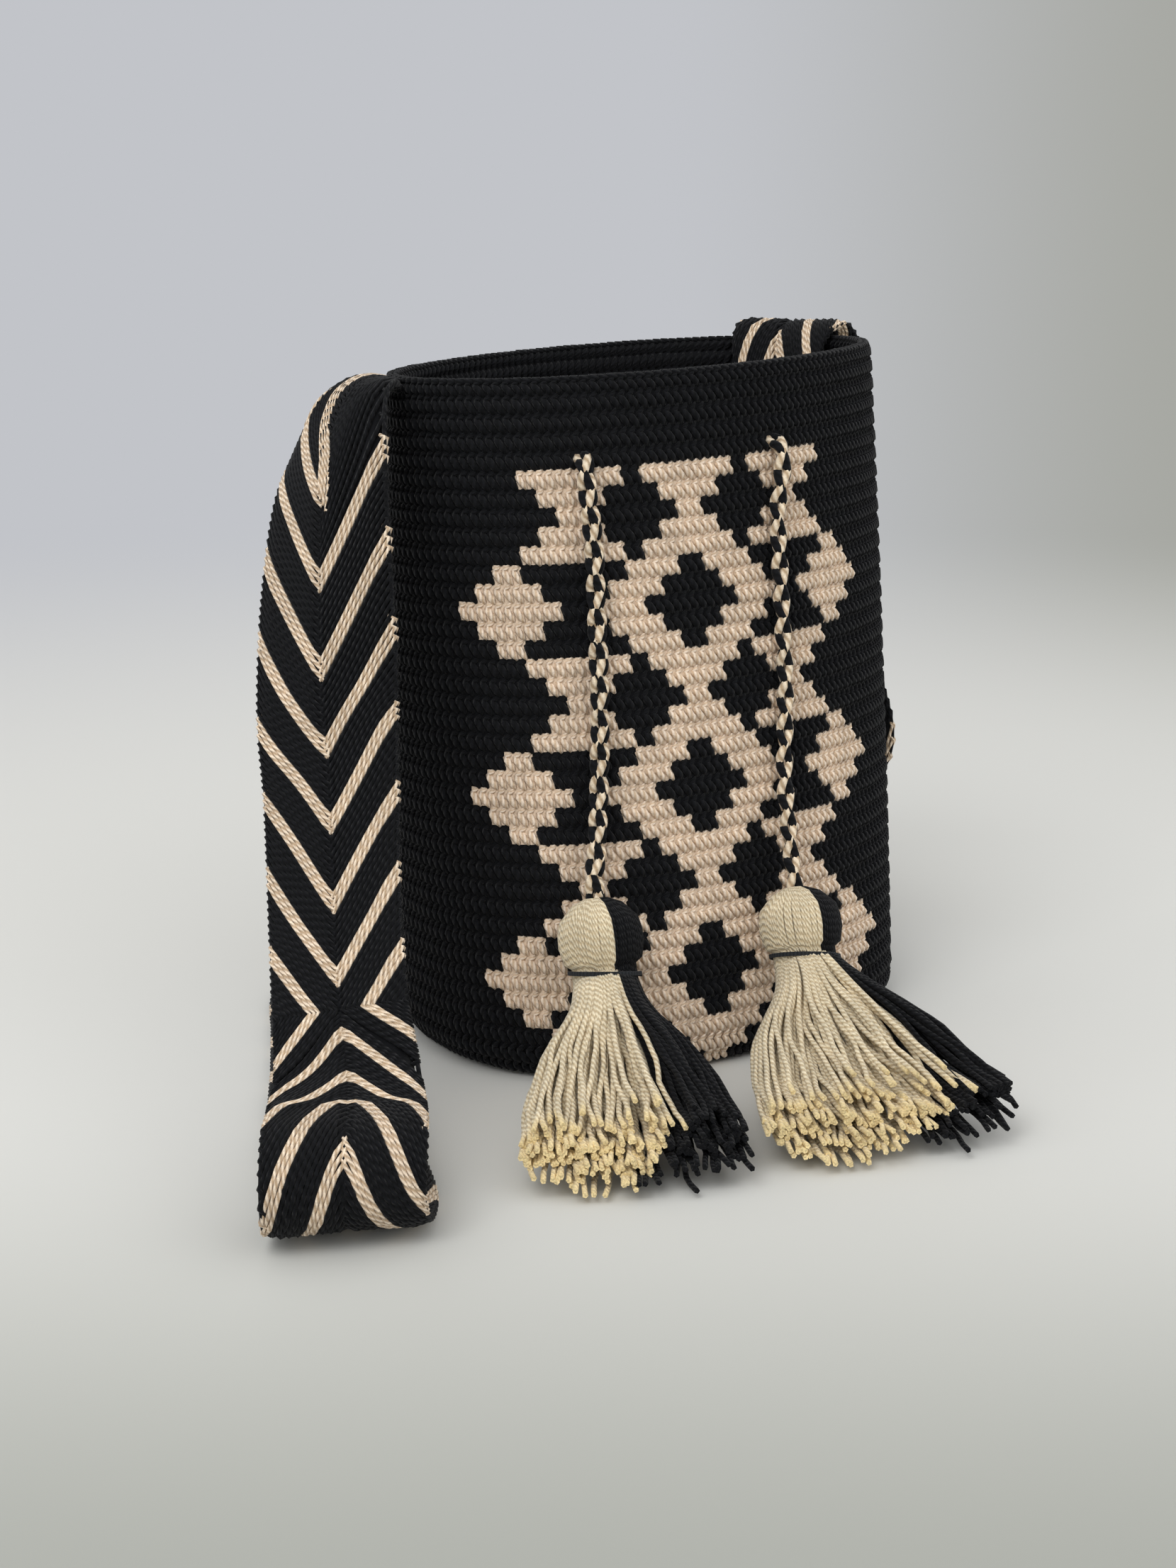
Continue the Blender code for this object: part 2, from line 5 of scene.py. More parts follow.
import bpy
import numpy as np
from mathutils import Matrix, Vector


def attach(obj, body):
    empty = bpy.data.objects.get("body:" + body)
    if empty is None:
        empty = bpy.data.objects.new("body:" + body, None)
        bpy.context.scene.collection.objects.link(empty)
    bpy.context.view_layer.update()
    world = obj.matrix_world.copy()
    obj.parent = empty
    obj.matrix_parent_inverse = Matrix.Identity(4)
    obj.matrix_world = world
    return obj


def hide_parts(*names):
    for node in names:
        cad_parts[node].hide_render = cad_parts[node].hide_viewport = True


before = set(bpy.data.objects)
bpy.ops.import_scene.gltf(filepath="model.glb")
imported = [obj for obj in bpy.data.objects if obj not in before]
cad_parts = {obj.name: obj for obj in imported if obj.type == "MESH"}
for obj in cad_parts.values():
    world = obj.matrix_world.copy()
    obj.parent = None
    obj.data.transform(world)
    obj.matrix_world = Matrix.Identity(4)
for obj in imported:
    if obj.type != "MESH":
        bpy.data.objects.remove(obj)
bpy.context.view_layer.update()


# The room: a plain pale sheet of paper for floor and backdrop, and soft studio lamps.
# The camera stands where the photograph was taken from, 0.83 m off and looking a little down.
# The floor is painted darker near the camera, as painted shade where the lamps' light falls off, and
# further off it passes softly into the backdrop's tone.
PAINTED_NEAR_SHADE = "#9c9e97"
FLOOR_GREY = "#d6d6d2"
BACKDROP_LEFT = "#c2c4c9"
BACKDROP_RIGHT = "#a6a7a1"
BACKDROP_TURNS = (0.02, 0.27)
PAINTED_NEAR_SHADE_ENDS = (-0.40, -0.08)
BACKDROP_BEGINS = (0.25, 1.3)
FLOOR_REACH = 60
AMBIENT = 0.86
CAMERA_AT = Vector((-0.480, -0.615, 0.274))
CAMERA_TURN = math.radians(36.4)
CAMERA_DOWN = math.radians(14.02)
PHOTO_WIDTH = 1659
PHOTO_FOCAL = 3324
SENSOR = 36


def linear(colour):
    """An sRGB hex colour as the linear values that a socket takes."""
    parts = [int(colour[i:i + 2], 16) / 255 for i in (1, 3, 5)]
    return (*(c / 12.92 if c <= 0.04045 else ((c + 0.055) / 1.055) ** 2.4 for c in parts), 1.0)


def node(tree, kind, settings=None, inputs=None, links=None):
    """Adds a node to a tree: settings are its own fields, inputs its socket values, links its feeds."""
    made = tree.nodes.new(kind)
    for name, value in (settings or {}).items():
        setattr(made, name, value)
    for name, value in (inputs or {}).items():
        made.inputs[name].default_value = value
    for name, source in (links or {}).items():
        tree.links.new(source, made.inputs[name])
    return made


def blank_material(name):
    material = bpy.data.materials.new(name)
    material.use_nodes = True
    material.node_tree.nodes.clear()
    return material, material.node_tree


def mesh_piece(name, points, faces, material):
    mesh = bpy.data.meshes.new(name)
    mesh.from_pydata([tuple(p) for p in points], [], faces)
    mesh.shade_smooth()
    mesh.materials.append(material)
    made = bpy.data.objects.new(name, mesh)
    bpy.context.collection.objects.link(made)
    return made


def smooth_share(tree, value, low, high):
    """A soft step of a value between two levels."""
    step = node(tree, "ShaderNodeMapRange", {"interpolation_type": "SMOOTHSTEP"},
                {"From Min": low, "From Max": high}, {"Value": value})
    return step.outputs[0]


def backdrop_colour(tree):
    """Bluish grey on the left of the picture and warmer grey on the right."""
    ray = node(tree, "ShaderNodeNewGeometry")
    aside = node(tree, "ShaderNodeVectorMath", {"operation": "DOT_PRODUCT"},
                 {1: (-math.cos(CAMERA_TURN), math.sin(CAMERA_TURN), 0)}, {0: ray.outputs["Incoming"]})
    tone = node(tree, "ShaderNodeMix", {"data_type": "RGBA"},
                {6: linear(BACKDROP_LEFT), 7: linear(BACKDROP_RIGHT)},
                {0: smooth_share(tree, aside.outputs["Value"], *BACKDROP_TURNS)})
    return tone.outputs[2]


# Matt paper: its own tone is even and has no gloss, so that the soft shadow shows under the bag; near
# the camera it is painted darker, as painted shade
floor_paper, tree = blank_material("matt_paper_sweep")
where = node(tree, "ShaderNodeTexCoord")
ahead = node(tree, "ShaderNodeVectorMath", {"operation": "DOT_PRODUCT"},
             {1: (math.sin(CAMERA_TURN), math.cos(CAMERA_TURN), 0)}, {0: where.outputs["Object"]})
# Painted shade: the paper's tone darkens towards the camera
tone = node(tree, "ShaderNodeMix", {"data_type": "RGBA"}, {6: linear(PAINTED_NEAR_SHADE), 7: linear(FLOOR_GREY)},
            {0: smooth_share(tree, ahead.outputs["Value"], *PAINTED_NEAR_SHADE_ENDS)})
paper = node(tree, "ShaderNodeBsdfPrincipled", inputs={"Roughness": 0.9},
             links={"Base Color": tone.outputs[2]})
distance = node(tree, "ShaderNodeVectorMath", {"operation": "LENGTH"},
                links={0: where.outputs["Object"]})
far_off = node(tree, "ShaderNodeEmission", inputs={"Strength": 1.0},
               links={"Color": backdrop_colour(tree)})
shader = node(tree, "ShaderNodeMixShader", links={
    0: smooth_share(tree, distance.outputs["Value"], *BACKDROP_BEGINS),
    1: paper.outputs[0], 2: far_off.outputs[0]})
node(tree, "ShaderNodeOutputMaterial", links={"Surface": shader.outputs[0]})
corners = [(x * FLOOR_REACH, y * FLOOR_REACH, 0) for x, y in ((-1, -1), (1, -1), (1, 1), (-1, 1))]
floor = mesh_piece("floor", corners, [(0, 1, 2, 3)], floor_paper)

camera = bpy.data.objects.new("camera", bpy.data.cameras.new("camera"))
camera.location = CAMERA_AT
camera.rotation_euler = (math.pi / 2 - CAMERA_DOWN, 0, -CAMERA_TURN)
camera.data.sensor_fit = "HORIZONTAL"
camera.data.sensor_width = SENSOR
camera.data.lens = PHOTO_FOCAL / PHOTO_WIDTH * SENSOR
bpy.context.collection.objects.link(camera)
bpy.context.scene.camera = camera

world = bpy.data.worlds.new("studio")
bpy.context.scene.world = world
world.use_nodes = True
tree = world.node_tree
tree.nodes.clear()
seen = node(tree, "ShaderNodeBackground", inputs={"Strength": 1.0},
            links={"Color": backdrop_colour(tree)})
lit = node(tree, "ShaderNodeBackground", inputs={"Color": (1, 1, 1, 1), "Strength": AMBIENT})
ray = node(tree, "ShaderNodeLightPath")
mix = node(tree, "ShaderNodeMixShader",
           links={0: ray.outputs["Is Camera Ray"], 1: lit.outputs[0], 2: seen.outputs[0]})
node(tree, "ShaderNodeOutputWorld", links={"Surface": mix.outputs[0]})


def lamp(name, place, size, power):
    """A square soft lamp that faces the bag: its side in metres, its power in watts."""
    data = bpy.data.lights.new(name, "AREA")
    data.size = size
    data.energy = power
    made = bpy.data.objects.new(name, data)
    made.location = place
    made.rotation_euler = (Vector((0, 0, 0.1)) - Vector(place)).to_track_quat("-Z", "Y").to_euler()
    bpy.context.collection.objects.link(made)


lamp("key_lamp", (-1.0, -0.5, 1.3), 0.9, 9.5)
lamp("fill_lamp", (0.4, -1.4, 1.0), 1.4, 3)
bpy.context.scene.view_settings.view_transform = "Standard"


# The bag: one piece of tapestry crochet in thick cotton yarn, worked round and round from the
# middle of the base. Black is the ground, and the cream yarn makes the stepped diamonds. Every
# stitch shows as a short thin leg above a long fat leg, so that a row looks like arrowheads.
HEIGHT = 0.220
GIRTH = 0.496
STITCHES_ROUND = 164
ROWS_IN_HEIGHT = 37.6
PLAIN_ROWS_ON_TOP = 4.6
WALL = 0.003
CORNER_RADIUS = 0.012
HALF_LENGTH = (0.087, 0.093, 0.095)
SQUARENESS = (2.44, 1.92)
TWIST_DEGREES = (-3.5, 4.0)
LEAN = (0.016, 0.030)
ROUND_SLOPE = 0.0034
PANEL_CENTRE = -0.030
STITCH_SLANT = 0.00044
STITCH = GIRTH / STITCHES_ROUND
ROW = HEIGHT / ROWS_IN_HEIGHT
REPEAT_ROWS = 10
FIRST_NARROW_ROW = 3
LAST_PATTERN_ROW = 33
NARROWEST = 3
STEP_STITCHES = 4
HOURGLASS_AT = 13
SMALL_DIAMOND_AT = 20
EYELET_AT = 11.5
SIDE_EYELETS_AT = 47
BLACK_YARN = "#0d0e12"
CREAM_YARN = "#efddc9"
OUTLINE_STEPS = 720
FIBRES_PER_MM = 1.4
PATCHES_PER_MM = 0.11


def oval(half_long, half_short, power):
    """Points round a superellipse, from the middle of the front."""
    angle = np.linspace(0, 2 * math.pi, OUTLINE_STEPS + 1) - math.pi / 2
    c, s = np.cos(angle), np.sin(angle)
    return np.stack([half_long * np.sign(c) * np.abs(c) ** (2 / power),
                     half_short * np.sign(s) * np.abs(s) ** (2 / power)], 1)


def plan(share):
    """The outline at a share of the height: points, outward normals, distances round."""
    low, middle, high = HALF_LENGTH
    half_long = low + (high - low) * share + (middle - (low + high) / 2) * 4 * share * (1 - share)
    power = SQUARENESS[0] + (SQUARENESS[1] - SQUARENESS[0]) * share
    least, most = 0.3 * half_long, half_long
    while most - least > 1e-6:
        half_short = (least + most) / 2
        points = oval(half_long, half_short, power)
        if np.linalg.norm(np.diff(points, axis=0), axis=1).sum() > GIRTH:
            most = half_short
        else:
            least = half_short
    along = np.roll(points[:-1], -1, 0) - np.roll(points[:-1], 1, 0)
    along = np.vstack([along, along[:1]])
    normals = np.stack([along[:, 1], -along[:, 0]], 1)
    normals /= np.linalg.norm(normals, axis=1)[:, None]
    turn = math.radians(TWIST_DEGREES[0] + (TWIST_DEGREES[1] - TWIST_DEGREES[0]) * share)
    rotation = np.array([[math.cos(turn), math.sin(turn)], [-math.sin(turn), math.cos(turn)]])
    distance = np.concatenate([[0], np.cumsum(np.linalg.norm(np.diff(points, axis=0), axis=1))])
    return points @ rotation + np.array(LEAN) * share, normals @ rotation, distance


plans = {}


def plan_at(share):
    share = round(min(max(share, 0.0), 1.0), 4)
    if share not in plans:
        plans[share] = plan(share)
    return share, plans[share]


def wall_point(stitch, row, out=0.0, inset=0.0):
    """A point of the wall: stitches from the panel's centre, rows from the pattern's top."""
    height = HEIGHT - (PLAIN_ROWS_ON_TOP + row - 0.5) * ROW
    drawn_in = inset
    if height < CORNER_RADIUS:
        bend = min((CORNER_RADIUS - height) / CORNER_RADIUS, math.pi / 2)
        height = CORNER_RADIUS * (1 - math.sin(bend))
        drawn_in += CORNER_RADIUS * (1 - math.cos(bend))
        height -= out * math.sin(bend)
        out *= math.cos(bend)
    share, (points, normals, distance) = plan_at(height / HEIGHT)
    s = (PANEL_CENTRE + STITCH_SLANT * row + stitch * STITCH) % distance[-1]
    x, y = (np.interp(s, distance, points[:, i]) for i in (0, 1))
    nx, ny = (np.interp(s, distance, normals[:, i]) for i in (0, 1))
    slope = ROUND_SLOPE * share * math.sin(2 * math.pi * (s - PANEL_CENTRE) / distance[-1])
    return Vector((x + nx * (out - drawn_in), y + ny * (out - drawn_in), height + slope))


def is_cream(stitch, row):
    """Whether the stitch is cream yarn, from its place in the ten-row repeat."""
    if not 1 <= row <= LAST_PATTERN_ROW:
        return False
    step = abs((row - FIRST_NARROW_ROW + REPEAT_ROWS // 2) % REPEAT_ROWS - REPEAT_ROWS // 2)
    wide = (NARROWEST + STEP_STITCHES * step) / 2
    hollow = (NARROWEST + STEP_STITCHES * (step - 3)) / 2 if step >= 3 else 0
    aside = abs(stitch)
    if aside < wide:
        return aside > hollow or step < 3
    if step >= 3:
        return abs(aside - SMALL_DIAMOND_AT) < hollow
    return abs(aside - HOURGLASS_AT) < wide


def yarn(name, colour, painted_ply_shade, pitch=0.0030, plies=3, ply_depth=0.00022, sheen=0.05, tips=None):
    """Twisted cotton: plies wind round the strand, with a soft fibrous bloom and no gloss, and the
    hollows between the plies painted darker, as painted shade.

    The fibres are drawn coarser than real ones, so that they show.
    The attribute yarn holds the cosine and sine of the angle round the strand and the length along.
    Where a colour for the tips is given, the attribute share runs from 0 to 1 along the strand.
    """
    material, tree = blank_material(name)
    place = node(tree, "ShaderNodeAttribute", {"attribute_name": "yarn"})
    split = node(tree, "ShaderNodeSeparateXYZ", links={0: place.outputs["Vector"]})
    angle = node(tree, "ShaderNodeMath", {"operation": "ARCTAN2"},
                 links={0: split.outputs[1], 1: split.outputs[0]})
    turns = node(tree, "ShaderNodeMath", {"operation": "MULTIPLY"}, {1: plies}, {0: angle.outputs[0]})
    phase = node(tree, "ShaderNodeMath", {"operation": "MULTIPLY_ADD"}, {1: 2 * math.pi / pitch},
                 {0: split.outputs[2], 2: turns.outputs[0]})
    wave = node(tree, "ShaderNodeMath", {"operation": "SINE"}, links={0: phase.outputs[0]})
    ply = node(tree, "ShaderNodeMapRange", inputs={"From Min": -1.0, "From Max": 0.6},
               links={"Value": wave.outputs[0]})
    where = node(tree, "ShaderNodeTexCoord")
    fibre = node(tree, "ShaderNodeTexNoise",
                 inputs={"Scale": 1000 * FIBRES_PER_MM, "Detail": 3, "Roughness": 0.7},
                 links={"Vector": where.outputs["Object"]})
    patch = node(tree, "ShaderNodeTexNoise", inputs={"Scale": 1000 * PATCHES_PER_MM, "Detail": 2},
                 links={"Vector": where.outputs["Object"]})
    # Painted shade: the hollows between the plies take the second, darker colour, and the crests the
    # yarn's own
    shade = node(tree, "ShaderNodeMix", {"data_type": "RGBA"}, {6: linear(painted_ply_shade), 7: linear(colour)},
                 {0: ply.outputs[0]})
    speck = node(tree, "ShaderNodeMapRange",
                 inputs={"From Min": 0.3, "From Max": 0.7, "To Min": 0.78, "To Max": 1.16},
                 links={"Value": fibre.outputs["Fac"]})
    tone = node(tree, "ShaderNodeMapRange",
                inputs={"From Min": 0.3, "From Max": 0.7, "To Min": 0.88, "To Max": 1.1},
                links={"Value": patch.outputs["Fac"]})
    both = node(tree, "ShaderNodeMath", {"operation": "MULTIPLY"},
                links={0: speck.outputs[0], 1: tone.outputs[0]})
    dyed = shade.outputs[2]
    if tips:
        along = node(tree, "ShaderNodeAttribute", {"attribute_name": "share"})
        cut = node(tree, "ShaderNodeMix", {"data_type": "RGBA"}, {7: linear(tips)},
                   {0: smooth_share(tree, along.outputs["Fac"], 0.93, 1.0), 6: dyed})
        dyed = cut.outputs[2]
    final = node(tree, "ShaderNodeVectorMath", {"operation": "SCALE"},
                 links={0: dyed, "Scale": both.outputs[0]})
    relief = node(tree, "ShaderNodeMath", {"operation": "MULTIPLY_ADD"}, {1: 0.35},
                  {0: fibre.outputs["Fac"], 2: ply.outputs[0]})
    bump = node(tree, "ShaderNodeBump", inputs={"Distance": ply_depth, "Strength": 1.0},
                links={"Height": relief.outputs[0]})
    shader = node(tree, "ShaderNodeBsdfPrincipled",
                  inputs={"Roughness": 0.85, "Specular IOR Level": 0.16, "Sheen Weight": sheen,
                          "Sheen Roughness": 0.5},
                  links={"Base Color": final.outputs[0], "Normal": bump.outputs[0]})
    node(tree, "ShaderNodeOutputMaterial", links={"Surface": shader.outputs[0]})
    return material


# Plain cotton, dyed black: nearly no shine, so that only the rows' relief catches the light.
# The hollows between the plies are painted darker, as painted shade; on the undyed cream yarn that shade
# is painted warmer, for the light that goes through its fibres.
bag_black = yarn("black_cotton_crochet_yarn", BLACK_YARN, "#050608", pitch=0.0024)
bag_cream = yarn("cream_cotton_crochet_yarn", CREAM_YARN, "#d0b597", pitch=0.0024, sheen=0.15)


def stroke_mesh(path, sides):
    """A short tapered strand along a path of x, y, z, radius in mm, closed at both ends."""
    path = np.array(path, float) * 0.001
    along = np.gradient(path[:, :3], axis=0)
    length = np.concatenate([[0], np.cumsum(np.linalg.norm(np.diff(path[:, :3], axis=0), axis=1))])
    points, twist = [], []
    for place, forward, far in zip(path, along, length):
        forward = Vector(forward).normalized()
        side = forward.cross(Vector((0, 0, 1))).normalized()
        up = side.cross(forward)
        for i in range(sides):
            a = 2 * math.pi * i / sides
            points.append(Vector(place[:3]) + (side * math.cos(a) + up * math.sin(a)) * place[3])
            twist.append((math.cos(a), math.sin(a), far))
    faces = [(r + i, r + i + sides, r + (i + 1) % sides + sides, r + (i + 1) % sides)
             for r in range(0, (len(path) - 1) * sides, sides) for i in range(sides)]
    last = (len(path) - 1) * sides
    faces += [tuple(range(sides)), tuple(last + i for i in reversed(range(sides)))]
    return points, faces, twist


def stitch_pattern(name, strokes):
    """A stitch's legs as one small mesh, kept out of sight, to be set on every stitch."""
    points, faces, twist = [], [], []
    for path, sides in strokes:
        p, f, t = stroke_mesh(path, sides)
        faces += [tuple(i + len(points) for i in face) for face in f]
        points += p
        twist += t
    mesh = bpy.data.meshes.new(name)
    mesh.from_pydata([tuple(p) for p in points], [], faces)
    mesh.shade_smooth()
    spread = mesh.attributes.new("yarn", "FLOAT_VECTOR", "POINT")
    spread.data.foreach_set("vector", np.array(twist, float).ravel())
    return bpy.data.objects.new(name, mesh)


def group_input(group, name, kind):
    return group.interface.new_socket(name, in_out="INPUT", socket_type=kind)


def stitch_tree():
    """Sets a stitch on every point, turned to its surface, each a little different."""
    group = bpy.data.node_groups.new("stitches_on_points", "GeometryNodeTree")
    group_input(group, "Geometry", "NodeSocketGeometry")
    group_input(group, "Stitch", "NodeSocketObject")
    group_input(group, "Unevenness", "NodeSocketFloat")
    group_input(group, "Seed", "NodeSocketInt")
    group_input(group, "Yarn", "NodeSocketMaterial")
    group.interface.new_socket("Geometry", in_out="OUTPUT", socket_type="NodeSocketGeometry")
    given = node(group, "NodeGroupInput")
    shape = node(group, "GeometryNodeObjectInfo", links={"Object": given.outputs["Stitch"]})
    across, out, size = (
        node(group, "GeometryNodeInputNamedAttribute", {"data_type": "FLOAT_VECTOR"}, {"Name": label})
        for label in ("across", "out", "size"))
    turn = node(group, "FunctionNodeAxesToRotation", {"primary_axis": "Z", "secondary_axis": "X"},
                links={0: out.outputs[0], 1: across.outputs[0]})
    less, more = (
        node(group, "ShaderNodeMath", {"operation": kind}, {0: 1.0}, {1: given.outputs["Unevenness"]})
        for kind in ("SUBTRACT", "ADD"))
    chance = node(group, "FunctionNodeRandomValue", {"data_type": "FLOAT"},
                  links={2: less.outputs[0], 3: more.outputs[0], "Seed": given.outputs["Seed"]})
    varied = node(group, "ShaderNodeVectorMath", {"operation": "SCALE"},
                  links={0: size.outputs[0], "Scale": chance.outputs[1]})
    laid = node(group, "GeometryNodeInstanceOnPoints",
                links={"Points": given.outputs["Geometry"], "Instance": shape.outputs["Geometry"],
                       "Rotation": turn.outputs[0], "Scale": varied.outputs[0]})
    real = node(group, "GeometryNodeRealizeInstances", links={0: laid.outputs[0]})
    dressed = node(group, "GeometryNodeSetMaterial",
                   links={"Geometry": real.outputs[0], "Material": given.outputs["Yarn"]})
    node(group, "NodeGroupOutput", links={0: dressed.outputs[0]})
    return group


LOWEST = 0.0003


def grown(name, start, group, values):
    """Runs a node group on an object with these named inputs, and keeps the plain mesh.

    What would dip into the floor is pressed flat on it, as the yarn is by the bag's weight.
    """
    bpy.context.collection.objects.link(start)
    modifier = start.modifiers.new("grow", "NODES")
    modifier.node_group = group
    names = {item.name: item.identifier for item in group.interface.items_tree if item.in_out == "INPUT"}
    for key, value in values.items():
        modifier[names[key]] = value
    start.update_tag()
    bpy.context.view_layer.update()
    result = start.evaluated_get(bpy.context.evaluated_depsgraph_get())
    mesh = bpy.data.meshes.new_from_object(result)
    mesh.name = name
    for vertex in mesh.vertices:
        vertex.co.z = max(vertex.co.z, LOWEST)
    bpy.data.objects.remove(start)
    made = bpy.data.objects.new(name, mesh)
    bpy.context.collection.objects.link(made)
    return made


def point_cloud(name, places):
    """A mesh of loose points, each with the directions and size of what is set on it."""
    mesh = bpy.data.meshes.new(name)
    mesh.from_pydata([tuple(p[0]) for p in places], [], [])
    for i, label in ((1, "across"), (2, "out"), (3, "size")):
        field = mesh.attributes.new(label, "FLOAT_VECTOR", "POINT")
        field.data.foreach_set("vector", np.array([tuple(p[i]) for p in places], float).ravel())
    return bpy.data.objects.new(name, mesh)


set_stitches = stitch_tree()
FAT_LEG = ((-1.6, 1.2, -0.2, 0.6), (-0.75, 0.35, 0.6, 1.08),
           (0.75, -1.55, 0.65, 1.15), (1.75, -3.0, -0.15, 0.6))
THIN_LEG = ((-1.5, 0.75, -0.1, 0.55), (-0.45, 1.75, 0.45, 0.9), (0.9, 3.1, -0.15, 0.5))
wall_stitch = stitch_pattern("wall_stitch", ((FAT_LEG, 6), (THIN_LEG, 5)))
INSIDE_LEG = ((-1.2, -2.4, -0.2, 0.6), (-0.2, -0.6, 0.7, 1.05),
              (0.5, 1.1, 0.7, 1.0), (1.1, 2.5, -0.2, 0.6))
inside_stitch = stitch_pattern("inside_stitch", ((INSIDE_LEG, 5),))
FIRST_ROW, LAST_ROW, LAST_ROW_INSIDE = -3, 35, 7
TOP_ROW = -3.85
TOP_ROW_INSIDE = -3.8
FLATTER = (1, 0.8, 0.9)
SUNK = 0.0004
EYELET_CLEARS = 1.2
UPPER_ROWS = 16
rows = [TOP_ROW] + list(range(FIRST_ROW, LAST_ROW + 1))


def stitch_place(stitch, row, out, facing=1):
    """A stitch's middle with its directions: along the row, and out of the wall."""
    here = wall_point(stitch, row, out)
    along = wall_point(stitch + 0.5, row, out) - wall_point(stitch - 0.5, row, out)
    up = wall_point(stitch, row - 0.4, out) - wall_point(stitch, row + 0.4, out)
    outward = along.cross(up).normalized() * facing
    size = FLATTER if row < FIRST_ROW else (1, 1, 1)
    return here, along.normalized() * facing, outward, size


def colour_at(stitch, row):
    """The panel's motif is on the front, and again on the back."""
    half = STITCHES_ROUND / 2
    middle = (stitch + half / 2) % half - half / 2
    return is_cream(middle, row)


half_round = STITCHES_ROUND / 2
eyelets = (EYELET_AT, -EYELET_AT, SIDE_EYELETS_AT, -SIDE_EYELETS_AT, half_round + EYELET_AT,
           half_round - EYELET_AT)
cream_places, black_places = [], {"upper": [], "lower": []}
for row in rows:
    for stitch in range(STITCHES_ROUND):
        place = stitch_place(stitch, row, -SUNK)
        if row == 0 and any(abs(stitch - at % STITCHES_ROUND) < EYELET_CLEARS for at in eyelets):
            continue
        if colour_at(stitch, row):
            cream_places.append(place)
        else:
            black_places["upper" if row < UPPER_ROWS else "lower"].append(place)
for name, places, material in (("cream", cream_places, bag_cream),
                               ("black_upper", black_places["upper"], bag_black),
                               ("black_lower", black_places["lower"], bag_black)):
    piece = grown(f"bag_stitches_{name}", point_cloud("points", places), set_stitches,
                  {"Stitch": wall_stitch, "Unevenness": 0.07, "Seed": 3, "Yarn": material})
    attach(piece, "root")
inside = [stitch_place(stitch, row, -WALL + SUNK, -1)
          for row in [TOP_ROW_INSIDE] + list(range(FIRST_ROW, LAST_ROW_INSIDE + 1))
          for stitch in range(STITCHES_ROUND)]
piece = grown("bag_stitches_inside", point_cloud("points", inside), set_stitches,
              {"Stitch": inside_stitch, "Unevenness": 0.07, "Seed": 4, "Yarn": bag_black})
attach(piece, "root")


GROUND_SUNK = 0.0003
GROUND_SUNK_INSIDE = 0.0002


def build_shell():
    """The ground under the stitches: outer wall, rim, inner wall and base as one closed sheet."""
    top = 0.5 - PLAIN_ROWS_ON_TOP
    bottom = ROWS_IN_HEIGHT - PLAIN_ROWS_ON_TOP + 0.5 + (math.pi / 2 - 1) * CORNER_RADIUS / ROW
    levels = [bottom] + [row + 0.5 for row in range(LAST_PATTERN_ROW, FIRST_ROW - 1, -1)] + [top]
    outer = [(row, -GROUND_SUNK) for row in levels]
    inner = [(row, -WALL + GROUND_SUNK_INSIDE) for row in np.linspace(top, bottom - 1.5, 24)]
    columns = STITCHES_ROUND
    points = [wall_point(stitch - 0.5, row, out)
              for row, out in outer + inner for stitch in range(columns)]
    for stitch in range(columns):
        place = wall_point(stitch - 0.5, bottom, 0, WALL)
        points.append(Vector((place.x, place.y, WALL)))
    rings = len(outer) + len(inner) + 1
    faces, cream = [], []
    for r in range(rings - 1):
        for c in range(columns):
            after = (c + 1) % columns
            below, above = r * columns, (r + 1) * columns
            faces.append((below + c, below + after, above + after, above + c))
            row = (outer[r][0] + outer[r + 1][0]) / 2 if r + 1 < len(outer) else 0
            cream.append(int(r > 0 and colour_at(c, round(row))))
    faces.append(tuple(reversed(range(columns))))
    faces.append(tuple((rings - 1) * columns + c for c in range(columns)))
    made = mesh_piece("bag_ground", points, faces, bag_black)
    made.data.materials.append(bag_cream)
    made.data.polygons.foreach_set("material_index", cream + [0, 0])
    return made


ground = build_shell()
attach(ground, "root")
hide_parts("bag_body")

# The rim: the last round of crochet ends in a chain that lies on its side along the edge.
# It is the same thick black yarn, and each link grows out of the stitch under it.
LINK_SIDE = ((-2.2, 0.2, -0.3, 0.5), (-0.8, 1.0, 0.7, 0.9), (0.9, 1.0, 0.7, 0.95), (2.1, 0.1, 0.1, 0.5))
OTHER_SIDE = tuple((x, -y, z, radius) for x, y, z, radius in LINK_SIDE)
chain_link = stitch_pattern("chain_link", ((OTHER_SIDE, 6), (LINK_SIDE, 6)))
rim_row = 0.5 - PLAIN_ROWS_ON_TOP
rim_places = []
for stitch in range(STITCHES_ROUND):
    before, here, after = (wall_point(stitch + step, rim_row, -WALL / 2) for step in (-0.5, 0, 0.5))
    rim_places.append((here, (after - before).normalized(), (0, 0, 1), (1, 1, 1)))
piece = grown("rim_chain", point_cloud("points", rim_places), set_stitches,
              {"Stitch": chain_link, "Unevenness": 0.06, "Seed": 5, "Yarn": bag_black})
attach(piece, "root")


